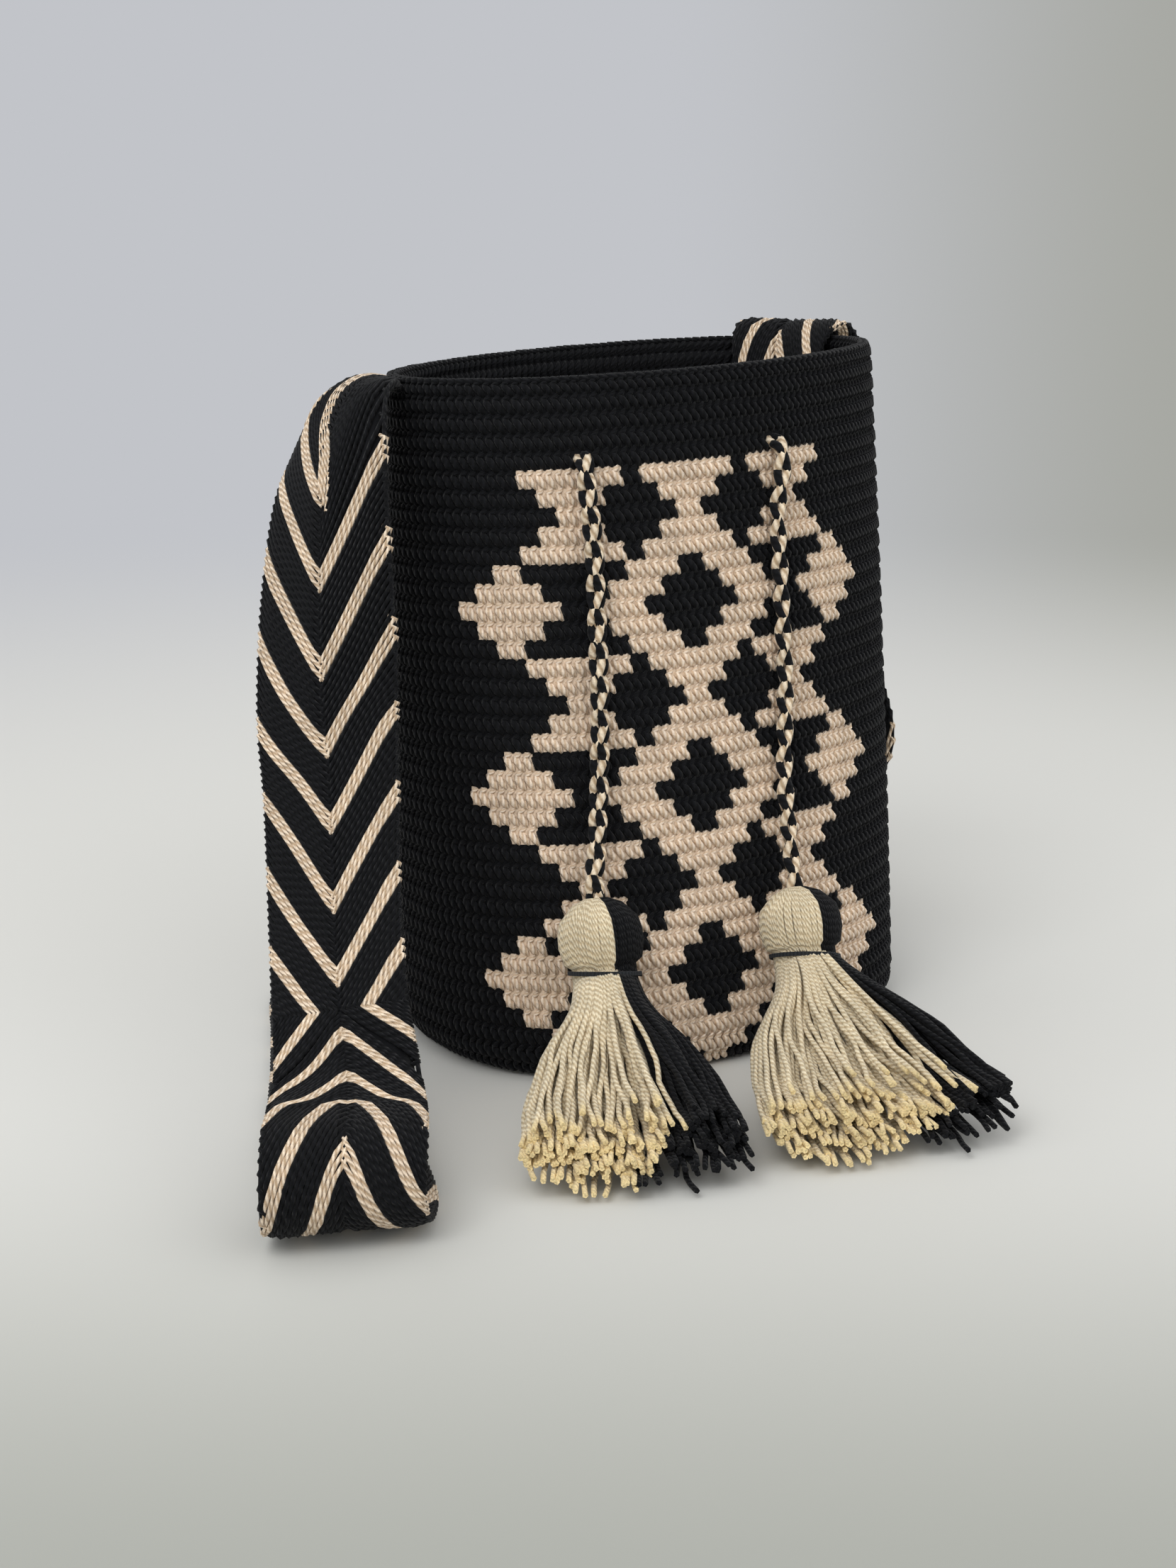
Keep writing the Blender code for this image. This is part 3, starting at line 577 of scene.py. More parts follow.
# The strap: a flat band plaited by hand from thin twisted cords. Three cream cords and seven black
# ones take turns, each running from an edge down to the middle, so that the band shows chevrons.
# Part of the way down the maker turned the plait over, and from there the chevrons point up.
STRAP_WIDTH = 0.044
STRAP_THICKNESS = 0.0045
STRAP_REPEAT = 0.0255
CORDS_IN_REPEAT = 10
CREAM_CORDS = 3
STRAP_TURNS_AT = 0.2204
LAST_TIP_BEFORE_TURN = 0.0068
FIRST_TIP = 0.045
STRAP_ON_FLOOR = 0.5 * STRAP_THICKNESS + 0.0004
STRAP_STOPS = [
    # stitch, height and distance out as shares of the bag's height, width's direction in degrees,
    # and its share of the full width
    (-34.5, 0.980, 0.0040, -104, 0.42),
    (-34.3, 0.984, 0.0273, -103, 0.46),
    (-33.6, 0.979, 0.0568, -101, 0.60),
    (-32.6, 0.958, 0.0909, -97, 0.80),
    (-31.4, 0.905, 0.1273, -90, 0.95),
    (-30.2, 0.831, 0.1623, -78, 1.0),
    (-28.4, 0.700, 0.2041, -66, 1.0),
    (-26.6, 0.568, 0.2441, -58, 1.0),
    (-25.1, 0.476, 0.2759, -54, 0.96),
    (-23.2, 0.349, 0.3350, -50, 0.90),
    (-21.2, 0.232, 0.4100, -45, 0.88),
    (-19.9, 0.165, 0.4636, -40, 0.92),
    (-19.1, 0.143, 0.5227, -32, 0.98),
    (-18.5, 0.135, 0.5864, -26, 1.0),
    (-17.9, 0.080, 0.6250, -24, 1.0),
    (-17.8, 0.030, 0.5909, -24, 1.0),
    (-18.5, 0, 0.4795, -27, 1.0),
    (-20.9, 0, 0.3609, -28, 1.0),
    (-24.8, 0, 0.2436, -30, 0.95),
    (-30.6, 0, 0.1641, -33, 0.92),
    (-38.8, 0, 0.1141, -38, 0.90),
    (-47.5, 0, 0.1323, -44, 0.92),
    (-58.2, 0, 0.2127, -57, 0.96),
    (-70.3, 0.018, 0.2823, -76, 1.0),
    (-83.6, 0.045, 0.2950, -92, 1.0),
    (-94.0, 0.136, 0.2541, -98, 1.0),
    (-105.5, 0.300, 0.1682, -88, 1.0),
    (-106.8, 0.450, 0.1136, -78, 1.0),
    (-105.8, 0.620, 0.0818, -72, 1.0),
    (-107.4, 0.800, 0.0636, -68, 1.0),
    (-108.7, 0.930, 0.0445, -66, 1.0),
    (-108.3, 0.985, 0.0373, -63, 0.98),
    (-108.0, 1.022, 0.0191, -61, 0.94),
    (-107.6, 1.036, -0.0082, -62, 0.90),
    (-107.2, 1.026, -0.0400, -65, 0.86),
    (-107.0, 0.987, -0.0600, -69, 0.80),
    (-107.0, 0.940, -0.0627, -71, 0.76),
]


def smooth_route(stops, spacing):
    """A curve through the stops, as rows of numbers, with points about spacing apart."""
    stops = np.array([list(stop) for stop in stops], float)
    ends = np.vstack([2 * stops[0] - stops[1], stops, 2 * stops[-1] - stops[-2]])
    samples = []
    for a, b, c, d in zip(ends, ends[1:], ends[2:], ends[3:]):
        steps = max(1, round(float(np.linalg.norm((c - b)[:3])) / spacing))
        for t in np.arange(steps) / steps:
            samples.append(0.5 * (2 * b + (c - a) * t + (2 * a - 5 * b + 4 * c - d) * t * t
                                  + (3 * b - a - 3 * c + d) * t ** 3))
    samples.append(stops[-1])
    return np.array(samples)


def beside_wall(stitch, share, out):
    """A place level with a share of the height, and a share of the height out from the wall."""
    points, normals, distance = plan_at(share)[1]
    s = (PANEL_CENTRE + stitch * STITCH) % distance[-1]
    x, y = (np.interp(s, distance, points[:, i] + normals[:, i] * out * HEIGHT) for i in (0, 1))
    return x, y, max(share * HEIGHT, STRAP_ON_FLOOR)


strap_line = smooth_route([(*beside_wall(*stop[:3]), *stop[3:]) for stop in STRAP_STOPS], 0.0015)
strap_centres = strap_line[:, :3]
strap_along = np.gradient(strap_centres, axis=0)
strap_along /= np.linalg.norm(strap_along, axis=1)[:, None]
lean = np.radians(strap_line[:, 3])
strap_across = np.stack([np.cos(lean), np.sin(lean), np.zeros(len(lean))], 1)
strap_across -= strap_along * (strap_across * strap_along).sum(1)[:, None]
strap_across /= np.linalg.norm(strap_across, axis=1)[:, None]
strap_up = np.cross(strap_across, strap_along)
strap_far = np.concatenate([[0], np.cumsum(np.linalg.norm(np.diff(strap_centres, axis=0), axis=1))])
strap_length = strap_far[-1]
# How much wider the plait's right half is at each distance along: it is pressed against the bag
RIGHT_SPREAD = ((0.0, 0.015, 0.11, 0.15), (1, 1.17, 1.14, 1))
strap_table = np.hstack([strap_centres, strap_across * strap_line[:, 4:5] * STRAP_WIDTH / 2, strap_up]).T


def on_strap(places, asides, lifts):
    """Points of the strap: distances along, shares of the half width, heights over the middle."""
    asides = np.array(asides)
    asides = asides * np.where(asides > 0, np.interp(places, *RIGHT_SPREAD), 1)
    pick = np.stack([np.interp(places, strap_far, column) for column in strap_table], 1)
    return pick[:, :3] + pick[:, 3:6] * asides[:, None] + pick[:, 6:9] * np.array(lifts)[:, None]


def run_tree():
    """Turns every line into a round strand as thick as its points say, and notes its twist.

    Each strand's twist starts at a length of its own, so that the plies of neighbours don't line up.
    """
    longest_start = 0.05
    group = bpy.data.node_groups.new("strands_on_lines", "GeometryNodeTree")
    group_input(group, "Geometry", "NodeSocketGeometry")
    group_input(group, "Sides", "NodeSocketInt")
    group_input(group, "Yarn", "NodeSocketMaterial")
    group.interface.new_socket("Geometry", in_out="OUTPUT", socket_type="NodeSocketGeometry")
    given = node(group, "NodeGroupInput")
    ring = node(group, "GeometryNodeCurvePrimitiveCircle", {"mode": "RADIUS"}, {"Radius": 1.0},
                {"Resolution": given.outputs["Sides"]})
    round_it = node(group, "GeometryNodeCaptureAttribute", links={0: ring.outputs[0]})
    round_it.capture_items.new("VECTOR", "around")
    group.links.new(node(group, "GeometryNodeInputPosition").outputs[0], round_it.inputs[1])
    along = node(group, "GeometryNodeCaptureAttribute", links={0: given.outputs["Geometry"]})
    along.capture_items.new("FLOAT", "along")
    along.capture_items.new("FLOAT", "share")
    spline = node(group, "GeometryNodeSplineParameter")
    group.links.new(spline.outputs["Length"], along.inputs[1])
    group.links.new(spline.outputs["Factor"], along.inputs[2])
    shift = node(group, "GeometryNodeCaptureAttribute", {"domain": "CURVE"}, links={0: along.outputs[0]})
    shift.capture_items.new("FLOAT", "start")
    chance = node(group, "FunctionNodeRandomValue", {"data_type": "FLOAT"},
                  {2: 0.0, 3: longest_start, "Seed": 6})
    group.links.new(chance.outputs[1], shift.inputs[1])
    radius = node(group, "GeometryNodeInputRadius")
    tube = node(group, "GeometryNodeCurveToMesh", inputs={"Fill Caps": True},
                links={"Curve": shift.outputs[0], "Profile Curve": round_it.outputs[0],
                       "Scale": radius.outputs[0]})
    wound = node(group, "ShaderNodeMath", {"operation": "ADD"},
                 links={0: along.outputs[1], 1: shift.outputs[1]})
    parts = node(group, "ShaderNodeSeparateXYZ", links={0: round_it.outputs[1]})
    twist = node(group, "ShaderNodeCombineXYZ",
                 links={0: parts.outputs[0], 1: parts.outputs[1], 2: wound.outputs[0]})
    marked = node(group, "GeometryNodeStoreNamedAttribute",
                  {"data_type": "FLOAT_VECTOR", "domain": "POINT"}, {"Name": "yarn"},
                  {"Geometry": tube.outputs[0], "Value": twist.outputs[0]})
    shared = node(group, "GeometryNodeStoreNamedAttribute",
                  {"data_type": "FLOAT", "domain": "POINT"}, {"Name": "share"},
                  {"Geometry": marked.outputs[0], "Value": along.outputs[2]})
    smooth = node(group, "GeometryNodeSetShadeSmooth", links={0: shared.outputs[0]})
    real = node(group, "GeometryNodeRealizeInstances", links={0: smooth.outputs[0]})
    dressed = node(group, "GeometryNodeSetMaterial",
                   links={"Geometry": real.outputs[0], "Material": given.outputs["Yarn"]})
    node(group, "NodeGroupOutput", links={0: dressed.outputs[0]})
    return group


def strands(name, runs, sides, material):
    """Strands along runs, each a list of points and a list of radii, in metres."""
    curve = bpy.data.curves.new(name, "CURVE")
    curve.dimensions = "3D"
    for points, radii in runs:
        spline = curve.splines.new("POLY")
        spline.points.add(len(points) - 1)
        spline.points.foreach_set("co", np.hstack([np.array(points), np.ones((len(points), 1))]).ravel())
        spline.points.foreach_set("radius", list(radii))
    return grown(name, bpy.data.objects.new(name, curve), lines_to_strands,
                 {"Sides": sides, "Yarn": material})


lines_to_strands = run_tree()
# Two-ply cotton cord, hard twisted: the plies show as slanting ridges, brighter on the cream, with
# painted shade in the hollows between them
strap_black = yarn("black_cotton_strap_cord", BLACK_YARN, "#050608", pitch=0.0032, plies=2,
                   ply_depth=0.0003)
strap_cream = yarn("cream_cotton_strap_cord", "#eddac2", "#b89e80", pitch=0.0032, plies=2,
                   ply_depth=0.0003, sheen=0.2)
CORD_SPACING = STRAP_REPEAT / CORDS_IN_REPEAT
STRAP_CORD_RADIUS = 0.00070
LIFT_AT_EDGE = 0.10
LIFT_INSIDE = 0.28
# How far the plait has got at each distance along: it goes back after the turn, and jumps in the fold
TURN_PLACES = (STRAP_TURNS_AT, 0.2535, 0.2565, 1.2)
TURN_LEVELS = tuple(STRAP_TURNS_AT - fall for fall in (0, 0.058, 0.073, 0.828))
# How far up from its tip each arm of a chevron meets the edge: pairs of the tip's level and that depth
DEPTHS = {-1: ((0.03, 0.037), (0.0606, 0.038), (0.0861, 0.041), (0.1116, 0.037), (0.1371, 0.038)),
          1: ((0.0530, 0.095), (0.0606, 0.090), (0.0780, 0.0385), (0.0861, 0.037), (0.1116, 0.035),
              (0.24, 0.034))}
LATER_DEPTH = 0.042
# The maker drew the cords down less evenly towards the first sewn end: these are the tips' real places
LAST_TIP = STRAP_TURNS_AT - LAST_TIP_BEFORE_TURN
TIP_PLACES = (0.0640, 0.0909, 0.1190, 0.1429, 0.1669, 0.1920, 0.2150)
TIP_LEVELS = [LAST_TIP - STRAP_REPEAT * later for later in range(len(TIP_PLACES) - 1, -1, -1)]
UP_LEVELS = (-0.06, *TIP_LEVELS, STRAP_TURNS_AT, 1.0)
UP_PLACES = (-0.0566, *TIP_PLACES, STRAP_TURNS_AT, 1.0)
FIRST_RIGHT_ARM = 0.07
CORD_POINTS = 11
TUCKED_BEYOND = 1.04
TUCKED_TO = 0.9
PAST_MIDDLE = 0.04
TOO_SHORT_FROM = 0.97
LEVELS_PAST_TURN = 0.055


def strap_colour(level, hand, after_turn):
    """Cream for the three cords just before each tip."""
    if not after_turn and level < (FIRST_TIP if hand < 0 else FIRST_RIGHT_ARM):
        return "black"
    before_tip = (LAST_TIP - level) % STRAP_REPEAT
    return "cream" if before_tip < CREAM_CORDS * CORD_SPACING else "black"


def cord_run(level, hand, face, after_turn, whole):
    """One cord on one half of one face: from the edge to the middle, or back to the edge.

    Its end is tucked in under the edge, where it turns to the other face.
    """
    places, depths = zip(*DEPTHS[hand])
    depth = LATER_DEPTH if after_turn and not whole else np.interp(level, places, depths)
    inner = max(0.0, (level - STRAP_TURNS_AT) / depth)
    if inner >= TOO_SHORT_FROM:
        return None
    asides = np.linspace(1, inner, CORD_POINTS)
    levels = level - depth * np.concatenate([[TUCKED_BEYOND], asides])
    asides = np.concatenate([[TUCKED_TO], asides])
    up = np.interp(levels, UP_LEVELS, UP_PLACES)
    down = np.interp(-levels, [-v for v in TURN_LEVELS], TURN_PLACES)
    if whole:
        asides = np.concatenate([asides, asides[-2::-1]])
        places = np.concatenate([up, down[-2::-1]])
    else:
        places = down if after_turn else up
        asides[-1] = -PAST_MIDDLE
    keep = (places > 0) & (places < strap_length)
    if keep.sum() < 3:
        return None
    rise = np.minimum(1, np.minimum((1 - asides) * 5, 1 if whole else (asides + 0.06) * 8))
    lifts = face * STRAP_THICKNESS * (LIFT_AT_EDGE + LIFT_INSIDE * np.clip(rise, 0, 1))
    lifts[0] = 0
    if whole:
        lifts[-1] = 0
    points = on_strap(places[keep], hand * asides[keep], lifts[keep])
    return points, [STRAP_CORD_RADIUS] * len(points)


runs = {"cream": [], "black": []}
lowest = float(np.interp(strap_length, TURN_PLACES, TURN_LEVELS))
level = STRAP_TURNS_AT + LEVELS_PAST_TURN
while level > lowest:
    level -= CORD_SPACING
    for hand in (-1, 1):
        for face in (-1, 1):
            parts = [(True, True)] if level > STRAP_TURNS_AT else [(False, False), (True, False)]
            for after_turn, whole in parts:
                run = cord_run(level, hand, face, after_turn, whole)
                if run is not None:
                    runs[strap_colour(level, hand, after_turn)].append(run)

# At the sewn end the first chevron's right arm runs up the band and over into the corner
ARM_CORDS = 4
ARM_MIDDLE = 1.3
ARM_CORD_SPACING = 0.00118
ARM_END = 0.0632
ARM_END_STEP = 0.0022
ARM_PLACES = (0, 0.010, 0.022, 0.029, 0.044, 0.0535, 0.064)
ARM_ASIDES = (-0.62, -0.40, -0.30, -0.26, -0.02, 0.04, 0.02)
FRONT_LIFT = -STRAP_THICKNESS * 0.40
for number in range(ARM_CORDS):
    places = np.linspace(0.001, ARM_END - ARM_END_STEP * number, 20)
    half_width = np.interp(places, strap_far, strap_line[:, 4]) * STRAP_WIDTH / 2
    asides = np.interp(places, ARM_PLACES, ARM_ASIDES)
    asides += (ARM_MIDDLE - number) * ARM_CORD_SPACING / half_width
    points = on_strap(places, asides, [FRONT_LIFT] * len(places))
    runs["cream"].append((points, [STRAP_CORD_RADIUS] * len(places)))

# A cord laid along each edge, where the plaited ones turn back
EDGE_CORD_AT = 0.98
EDGE_CORD_RADIUS = 0.0007
places = np.arange(0.001, strap_length, 0.003)
for edge in (-EDGE_CORD_AT, EDGE_CORD_AT):
    points = on_strap(places, [edge] * len(places), [0] * len(places))
    runs["black"].append((points, [EDGE_CORD_RADIUS] * len(places)))

# One cream cord of the chevron above shows as a sliver by the left edge
places = np.linspace(0.012, 0.026, 8)
points = on_strap(places, np.linspace(-0.74, -0.92, len(places)), [FRONT_LIFT] * len(places))
swell = np.sin(np.linspace(0.4, math.pi - 0.4, len(places)))
runs["cream"].append((points, STRAP_CORD_RADIUS * swell))

for colour, material in (("black", strap_black), ("cream", strap_cream)):
    piece = strands(f"strap_cords_{colour}", runs[colour], 5, material)
    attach(piece, "root")
    if colour == "black":
        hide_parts("strap")

# The strap's core: the cords' crossings inside the band, seen only as darkness between the cords.
# It is a plain flat strip of the same black, thinner and a little narrower than the plait.
core_rings = np.arange(0.0005, strap_length, 0.004)
CORE_SECTION = ((-0.93, 0.0003), (-0.7, 0.0011), (0.7, 0.0011), (0.93, 0.0003), (0.7, -0.0011),
                (-0.7, -0.0011))
core = np.stack([on_strap(core_rings, [aside] * len(core_rings), [lift] * len(core_rings))
                 for aside, lift in CORE_SECTION], 1).reshape(-1, 3)
sides = len(CORE_SECTION)
faces = [(r + i, r + (i + 1) % sides, r + sides + (i + 1) % sides, r + sides + i)
         for r in range(0, len(core) - sides, sides) for i in range(sides)]
faces += [tuple(range(sides))[::-1], tuple(len(core) - sides + i for i in range(sides))]
piece = mesh_piece("strap_core", core, faces, strap_black)
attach(piece, "root")


# The drawstring: a round braid of two black and two cream strands, drawn through the eyelets.
# Both ends hang down the front, and the stretch between them runs round inside the wall.
CORD_RADIUS = 0.0023
CORD_POINT_SPACING = 0.0145
GAP = 0.0004
ROW_RIDGE = 0.0007
BRAID_PITCH = 0.021
POINTS_PER_PITCH = 18
STRAND_REACH = 0.68
STRAND_WEAVE = 0.13
STRAND_SHARE = 0.60
INSIDE = -(WALL + CORD_RADIUS + 0.0024)
OUTSIDE = ROW_RIDGE + GAP + CORD_RADIUS + 0.0006
IN_EYELET = -0.0012
BEHIND_EYELET = -0.0034
TURNING_ASIDE = -0.0068
LONGEST_STEP = 5
# The stops of each free end: stitch, row and distance out of the wall
LEFT_STOPS = [(-11.5, 0, IN_EYELET), (-11.5, 0.03, 0.0012), (-11.5, 0.4, 0.0038), (-11.5, 1.5, 0.0048),
              (-11.1, 4.3, 0.0040), (-11.2, 8.5, 0.0040), (-11.4, 13.0, 0.0040), (-12.1, 17.2, 0.0052),
              (-12.9, 20.4, 0.0090), (-13.5, 22.2, 0.0125)]
RIGHT_STOPS = [(11.5, 0, IN_EYELET), (11.5, 0.03, 0.0012), (11.4, 0.4, 0.0038), (11.2, 1.5, 0.0048),
               (10.6, 3.7, 0.0040), (10.7, 8.5, 0.0040), (10.7, 13.1, 0.0040), (9.6, 17.7, 0.0052),
               (8.7, 21.2, 0.0090), (8.0, 23.2, 0.0125)]


def inner_stops():
    """From the left front eyelet round the left side, the back and the right side to the other."""
    run = [(-EYELET_AT, 0, IN_EYELET - GAP), (-EYELET_AT, 0, BEHIND_EYELET),
           (-12.9, 0, TURNING_ASIDE), (-15.5, 0, INSIDE)]
    for stitch, going_out in ((-SIDE_EYELETS_AT, 1), (EYELET_AT - half_round, -1),
                              (-EYELET_AT - half_round, 1), (SIDE_EYELETS_AT - STITCHES_ROUND, -1)):
        before, after = (INSIDE, OUTSIDE) if going_out > 0 else (OUTSIDE, INSIDE)
        run += [(stitch + 3.3, 0, before), (stitch + 1.3, 0, before * 0.8), (stitch, 0, IN_EYELET),
                (stitch - 1.3, 0, after * 0.8), (stitch - 3.3, 0, after)]
    far = EYELET_AT - STITCHES_ROUND
    run += [(far + 4, 0, INSIDE), (far + 1.4, 0, TURNING_ASIDE), (far, 0, BEHIND_EYELET),
            (far, 0, IN_EYELET - GAP)]
    spaced = [run[0]]
    for place in run[1:]:
        gap = spaced[-1][0] - place[0]
        steps = int(gap / LONGEST_STEP)
        for _ in range(1, steps):
            spaced.append((spaced[-1][0] - gap / steps, 0, spaced[-1][2]))
        spaced.append(place)
    return spaced


def braid_runs(route, radius):
    """Four strands that wind two each way round the route, over and under in turn."""
    far = np.concatenate([[0], np.cumsum(np.linalg.norm(np.diff(route, axis=0), axis=1))])
    count = max(8, int(far[-1] / (BRAID_PITCH / POINTS_PER_PITCH)))
    places = np.linspace(0, far[-1], count)
    centre = np.stack([np.interp(places, far, route[:, i]) for i in range(3)], 1)
    forward = np.gradient(centre, axis=0)
    forward /= np.linalg.norm(forward, axis=1)[:, None]
    side = np.cross(forward[0], (0.3, 0.2, 0.9))
    runs = {"cream": [], "black": []}
    sides = []
    for f in forward:
        side = side - f * side.dot(f)
        side = side / np.linalg.norm(side)
        sides.append(side)
    sides = np.array(sides)
    ups = np.cross(forward, sides)
    for number in range(4):
        way = 1 if number < 2 else -1
        start = math.pi * number + (math.pi / 2 if number >= 2 else 0)
        turn = way * 2 * math.pi * places / BRAID_PITCH + start
        over = way * np.cos(4 * math.pi * places / BRAID_PITCH)
        reach = radius * (STRAND_REACH + STRAND_WEAVE * over)
        points = centre + sides * (np.cos(turn) * reach)[:, None] + ups * (np.sin(turn) * reach)[:, None]
        runs["cream" if number < 2 else "black"].append((points, [radius * STRAND_SHARE] * count))
    return runs


# Soft two-ply cotton: the plies show as a fine slant across each strand of the braid, with painted shade
# in the hollows between them
cord_black = yarn("black_cotton_braid_strand", "#101115", "#050608", pitch=0.0030, plies=2)
cord_cream = yarn("cream_cotton_braid_strand", "#eddcc2", "#b49b7c", pitch=0.0030, plies=2,
                  sheen=0.2)


def joined(name, pieces):
    """One mesh from several, each keeping its own material and twist."""
    points, faces, marks, twist = [], [], [], []
    for number, piece in enumerate(pieces):
        mesh = piece.data
        start = len(points)
        points += [tuple(v.co) for v in mesh.vertices]
        faces += [tuple(i + start for i in p.vertices) for p in mesh.polygons]
        marks += [number] * len(mesh.polygons)
        twist += [tuple(d.vector) for d in mesh.attributes["yarn"].data]
    made = mesh_piece(name, points, faces, pieces[0].data.materials[0])
    for piece in pieces[1:]:
        made.data.materials.append(piece.data.materials[0])
    made.data.polygons.foreach_set("material_index", marks)
    field = made.data.attributes.new("yarn", "FLOAT_VECTOR", "POINT")
    field.data.foreach_set("vector", np.array(twist, float).ravel())
    for piece in pieces:
        bpy.data.objects.remove(piece)
    return made


def braided(name, stops, beyond=()):
    """A braid through stops on the wall, and on through its tassel's head to the knot below it."""
    route = smooth_route([wall_point(*stop) for stop in stops], CORD_POINT_SPACING)
    if beyond:
        route = np.vstack([route, beyond])
    fine = smooth_route(route, 0.002)
    runs = braid_runs(fine, CORD_RADIUS)
    made = joined(name, [strands("part", runs[colour], 6, material)
                         for colour, material in (("cream", cord_cream), ("black", cord_black))])
    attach(made, "root")
    return made, fine


LEFT_NECK, LEFT_TIPS = beside_wall(-9.4, 0.182, 0.0750), beside_wall(-9.1, 0.050, 0.4485)
RIGHT_NECK, RIGHT_TIPS = beside_wall(11.2, 0.168, 0.0850), beside_wall(5.0, 0.050, 0.4610)
KNOT_BELOW_NECK = 0.13


def into_tassel(neck, tips):
    """The cord's last two stops: the tassel's neck, and the knot that the skirt hides."""
    neck, tips = np.array(neck), np.array(tips)
    return [neck, neck + (tips - neck) * KNOT_BELOW_NECK]


left_cord, left_route = braided("drawstring_left_braid", LEFT_STOPS, into_tassel(LEFT_NECK, LEFT_TIPS))
right_cord, right_route = braided("drawstring_right_braid", RIGHT_STOPS,
                                  into_tassel(RIGHT_NECK, RIGHT_TIPS))
inner_cord = braided("drawstring_inner_braid", inner_stops())[0]
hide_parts("drawstring_left_end")
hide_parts("drawstring_right_end")
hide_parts("drawstring_inner_run")


# The tassels: hanks of thin twisted yarn, cream on one side and black on the other, doubled over
# the cord's end, bound round the neck with dark thread and cut, so that the skirt fans out on the
# floor. Each strand is its own piece of yarn with its own waves, and the lower ones reach further.
TIE_WIDTH = 0.0024
TIE_TURNS = 3
TIE_STEPS = 24
TIE_THREAD_RADIUS = 0.00032
HEAD_HALF_WIDTH = 0.0144
HEAD_HALF_DEPTH = 0.0124
HEAD_DROP = 0.0040
NECK_HALF_WIDTH = 0.0110
NECK_HALF_DEPTH = 0.0098
NECK_LENGTH = TIE_WIDTH + 0.0028
# Shares of the way down the head with the head's swell, then shares of the way down the skirt with
# its width and depth, and then the bundle's rings with the number of strands in each
HEAD = ((0, 0.30), (0.08, 0.62), (0.28, 0.93), (0.6, 1.0), (0.82, 0.92))
SKIRT = ((0.16, 0.40, 1.10), (0.36, 0.72, 1.40), (0.66, 0.93, 1.30), (1.0, 1.0, 1.08))
BUNDLE_RINGS = ((0.95, 84), (0.80, 70), (0.62, 60), (0.40, 46), (0.16, 26))
HEAD_STRAND_RADIUS = 0.0006
STRAND_RADIUS = 0.00088
CUT_SLANT = 0.075
CUT_ROUNDING = 0.03
CUT_RAGGEDNESS = 0.02
WAVE = (0.0004, 0.0014)
WAVE_RATE = (100, 190)
LIFT_WAVE = (0.0002, 0.0008)
TIE_CLEARS_WIDTH = 0.0003
TIE_CLEARS_DEPTH = 0.0004
# Loose two-ply cotton: deep plies, and in the cream yarn tips that have gone yellower at the cut.
# The binding thread is thin and dark with waxed, close plies, so that it shows as a narrow ring.
# Each yarn's second, darker colour is painted shade in the hollows between its plies
tassel_cream = yarn("cream_cotton_tassel_yarn", "#eaddc0", "#c4b08d", pitch=0.0022, plies=2,
                    ply_depth=0.00025, sheen=0.2, tips="#ecd6a2")
tassel_black = yarn("black_cotton_tassel_yarn", BLACK_YARN, "#050608", pitch=0.0022, plies=2,
                    ply_depth=0.00025)
tie_thread = yarn("dark_waxed_binding_thread", "#33363a", "#141516", pitch=0.0012, ply_depth=0.0001)


def unit(vector):
    return vector / np.linalg.norm(vector)


def tassel_stops(head_top, neck, tips, neck_side, tip_side, fan_half_width):
    """Stops down the tassel, each a middle, a sideways direction, a half width and a half depth."""
    down = unit(neck - head_top)
    start = head_top + down * HEAD_DROP
    stops = [[*(start + (neck - start) * share), *neck_side,
              HEAD_HALF_WIDTH * swell, HEAD_HALF_DEPTH * swell] for share, swell in HEAD]
    for beyond in (-NECK_LENGTH / 2, NECK_LENGTH / 2):
        stops.append([*(neck + down * beyond), *neck_side, NECK_HALF_WIDTH, NECK_HALF_DEPTH])
    for share, width, depth in SKIRT:
        level = neck + (tips - neck) * share
        level[2] = tips[2] + (neck[2] - tips[2]) * (1 - share) ** 2
        stops.append([*level, *(neck_side + (tip_side - neck_side) * share), fan_half_width * width,
                      min(NECK_HALF_DEPTH * depth, level[2] - GAP)])
    return stops, down


def bundle_layout(chance):
    """Where each strand runs in the bundle, as shares of its half width and its half depth."""
    layout = []
    for ring, amount in BUNDLE_RINGS:
        for i in range(amount):
            angle = 2 * math.pi * (i + chance.uniform(-0.2, 0.2)) / amount
            layout.append((ring * math.cos(angle), ring * math.sin(angle)))
    return layout


def tie_coil(neck, down, side):
    """The binding thread's way round the neck."""
    rest = np.cross(down, side)
    coil = []
    for i in range(TIE_TURNS * TIE_STEPS + 1):
        a = 2 * math.pi * i / TIE_STEPS
        level = (i / (TIE_TURNS * TIE_STEPS) - 0.5) * TIE_WIDTH * 0.5
        coil.append(neck + down * level + side * math.cos(a) * (NECK_HALF_WIDTH + TIE_CLEARS_WIDTH)
                    + rest * math.sin(a) * (NECK_HALF_DEPTH + TIE_CLEARS_DEPTH))
    return coil


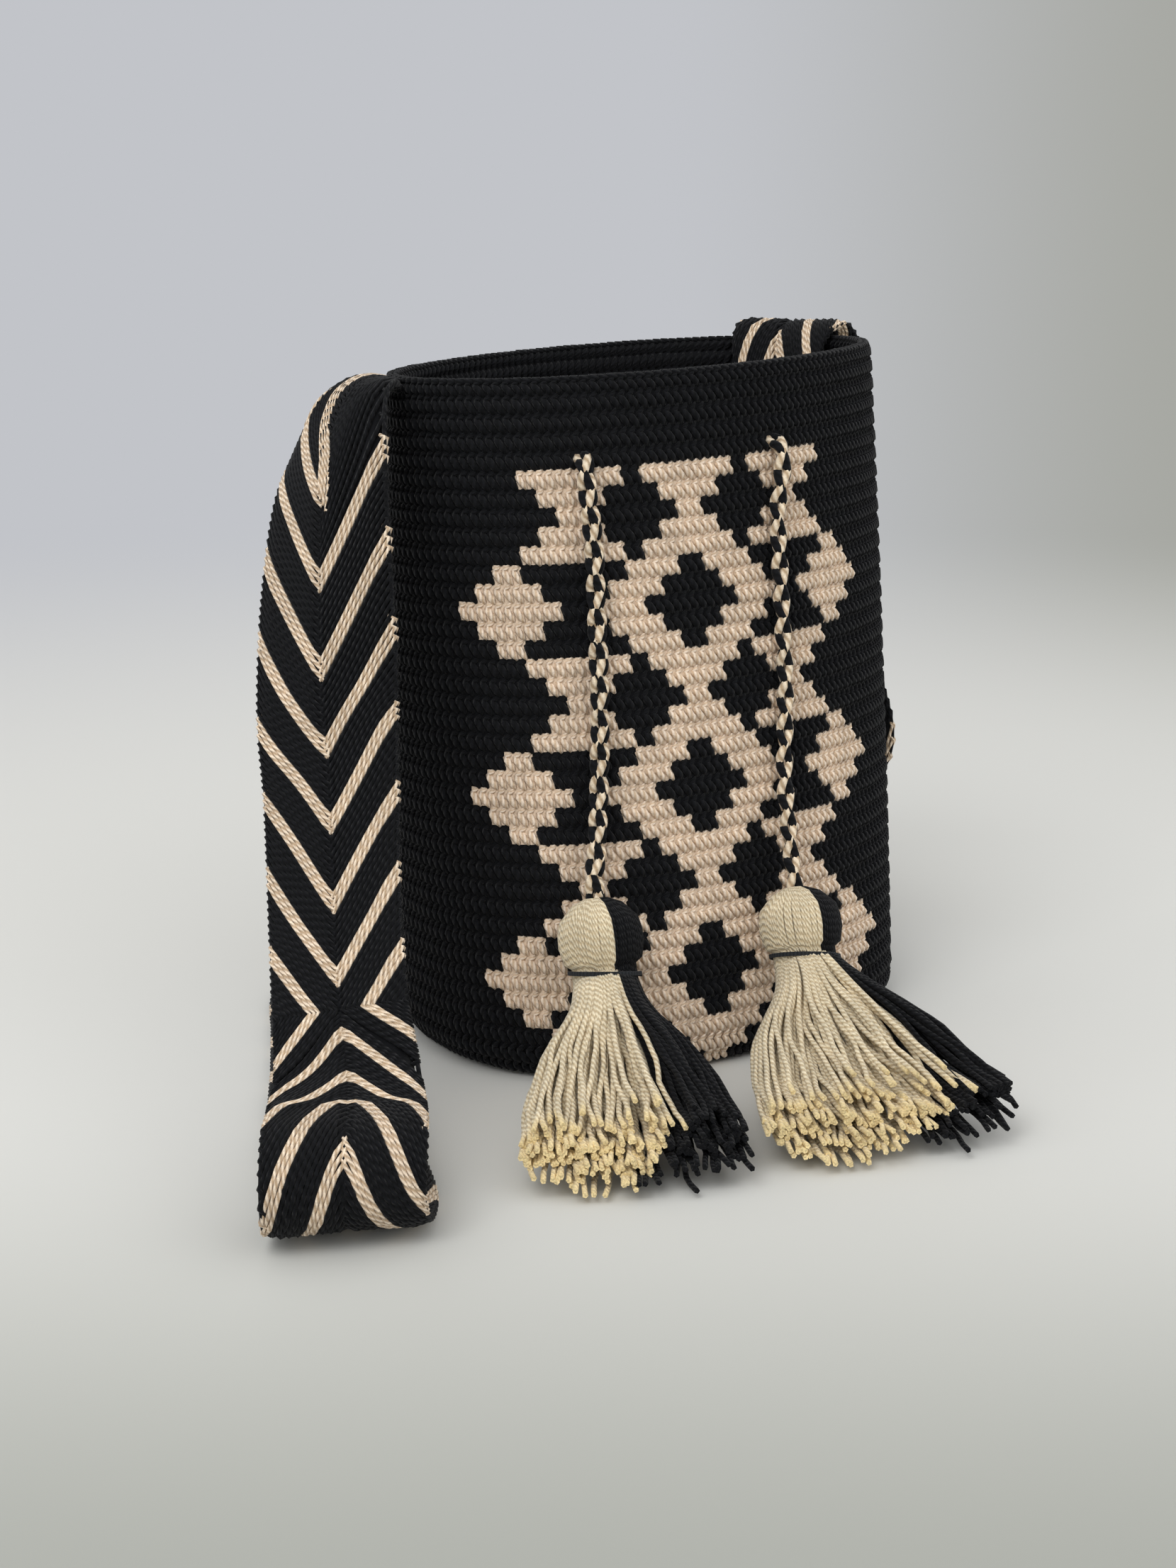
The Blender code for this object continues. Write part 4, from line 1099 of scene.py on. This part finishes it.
def build_tassel(side_name, head_top, neck, tips, neck_side, tip_side, fan_half_width, split,
                 middle, spread, seed):
    """Two bundles that share the head and fan out side by side, and the thread round the neck.

    The split parts the colours in the head. In the skirt their border runs slantwise through the
    layers: middle is its place halfway up, and spread how far it moves between top and bottom.
    """
    head_top, neck, tips, neck_side, tip_side = (
        np.array(v) for v in (head_top, neck, tips, neck_side, tip_side))
    stops, down = tassel_stops(head_top, neck, tips, neck_side, tip_side, fan_half_width)
    line = smooth_route(stops, 0.0045)
    centres = line[:, :3]
    forward = np.gradient(centres, axis=0)
    forward /= np.linalg.norm(forward, axis=1)[:, None]
    far = np.concatenate([[0], np.cumsum(np.linalg.norm(np.diff(centres, axis=0), axis=1))])
    neck_at = far[np.argmin(np.linalg.norm(centres - neck, axis=1))]
    side = line[:, 3:6] - forward * (line[:, 3:6] * forward).sum(1)[:, None]
    side /= np.linalg.norm(side, axis=1)[:, None]
    up = np.cross(forward, side)
    free = np.clip((far - neck_at) / (far[-1] - neck_at), 0, 1)
    ease = free * free * (3 - 2 * free)
    radii = HEAD_STRAND_RADIUS + (STRAND_RADIUS - HEAD_STRAND_RADIUS) * np.clip(free * 4, 0, 1)
    chance = random.Random(seed)
    layout = bundle_layout(chance)
    order = sorted(range(len(layout)), key=lambda i: layout[i][0] + chance.uniform(-0.12, 0.12))
    creams = sum(layout[i][0] < split for i in order)
    runs = {"cream": [], "black": []}
    seen = {"cream": 0, "black": 0}
    for i in order:
        u, v = layout[i]
        colour = "cream" if u < split else "black"
        skirt_v = max(-0.95, min(0.98, v * 0.5 + chance.uniform(-0.7, 0.75)))
        border = middle + spread * skirt_v
        share = (seen[colour] + 0.5) / (creams if colour == "cream" else len(order) - creams)
        seen[colour] += 1
        low, high = (-0.98, border) if colour == "cream" else (border, 0.98)
        skirt_u = min(0.98, max(-0.98, low + (high - low) * share + chance.uniform(-0.05, 0.05)))
        skirt_v *= math.sqrt(max(0.05, 1 - 0.8 * skirt_u ** 2))
        reach = (1 - CUT_SLANT * (skirt_v + 1) - CUT_ROUNDING * skirt_u ** 2
                 - CUT_RAGGEDNESS * chance.random())
        phase, wave = chance.uniform(0, 6.28), chance.uniform(*WAVE)
        rate = chance.uniform(*WAVE_RATE)
        lift_phase, lift_wave = chance.uniform(0, 6.28), chance.uniform(*LIFT_WAVE)
        sway = wave * ease * (np.sin(far * rate + phase) + 0.4 * np.sin(far * rate * 2.3 + lift_phase))
        lift = lift_wave * ease * np.sin(far * rate * 1.3 + lift_phase)
        a = (u + (skirt_u - u) * ease) * np.maximum(line[:, 6] - STRAND_RADIUS, 0.002) + sway
        b = (v + (skirt_v - v) * ease) * np.maximum(line[:, 7] - STRAND_RADIUS, 0.002) + lift
        points = centres + side * a[:, None] + up * b[:, None]
        points[:, 2] = np.maximum(points[:, 2], STRAND_RADIUS + GAP)
        count = int((far <= far[-1] * reach).sum())
        runs[colour].append((points[:count], radii[:count]))
    made = []
    for colour, material in (("cream", tassel_cream), ("black", tassel_black)):
        piece = strands(f"tassel_{side_name}_{colour}_strands", runs[colour], 5, material)
        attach(piece, "root")
        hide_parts(f"tassel_{side_name}_{colour}_yarn")
        made.append(piece)
    coil = tie_coil(neck, down, unit(neck_side))
    tie = strands(f"tassel_{side_name}_binding", [(coil, [TIE_THREAD_RADIUS] * len(coil))], 5,
                  tie_thread)
    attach(tie, "root")
    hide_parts(f"tassel_{side_name}_neck_tie")
    return made + [tie]


left_tassel = build_tassel("left", wall_point(*LEFT_STOPS[-1]), LEFT_NECK, LEFT_TIPS,
                           (0.805, -0.593, 0), (0.963, -0.269, 0), 0.035, 0.30, 0.22, 0.36, 11)
right_tassel = build_tassel("right", wall_point(*RIGHT_STOPS[-1]), RIGHT_NECK, RIGHT_TIPS,
                            (0.805, -0.593, 0), (0.994, -0.113, 0), 0.042, 0.45, 0.38, 0.65, 12)
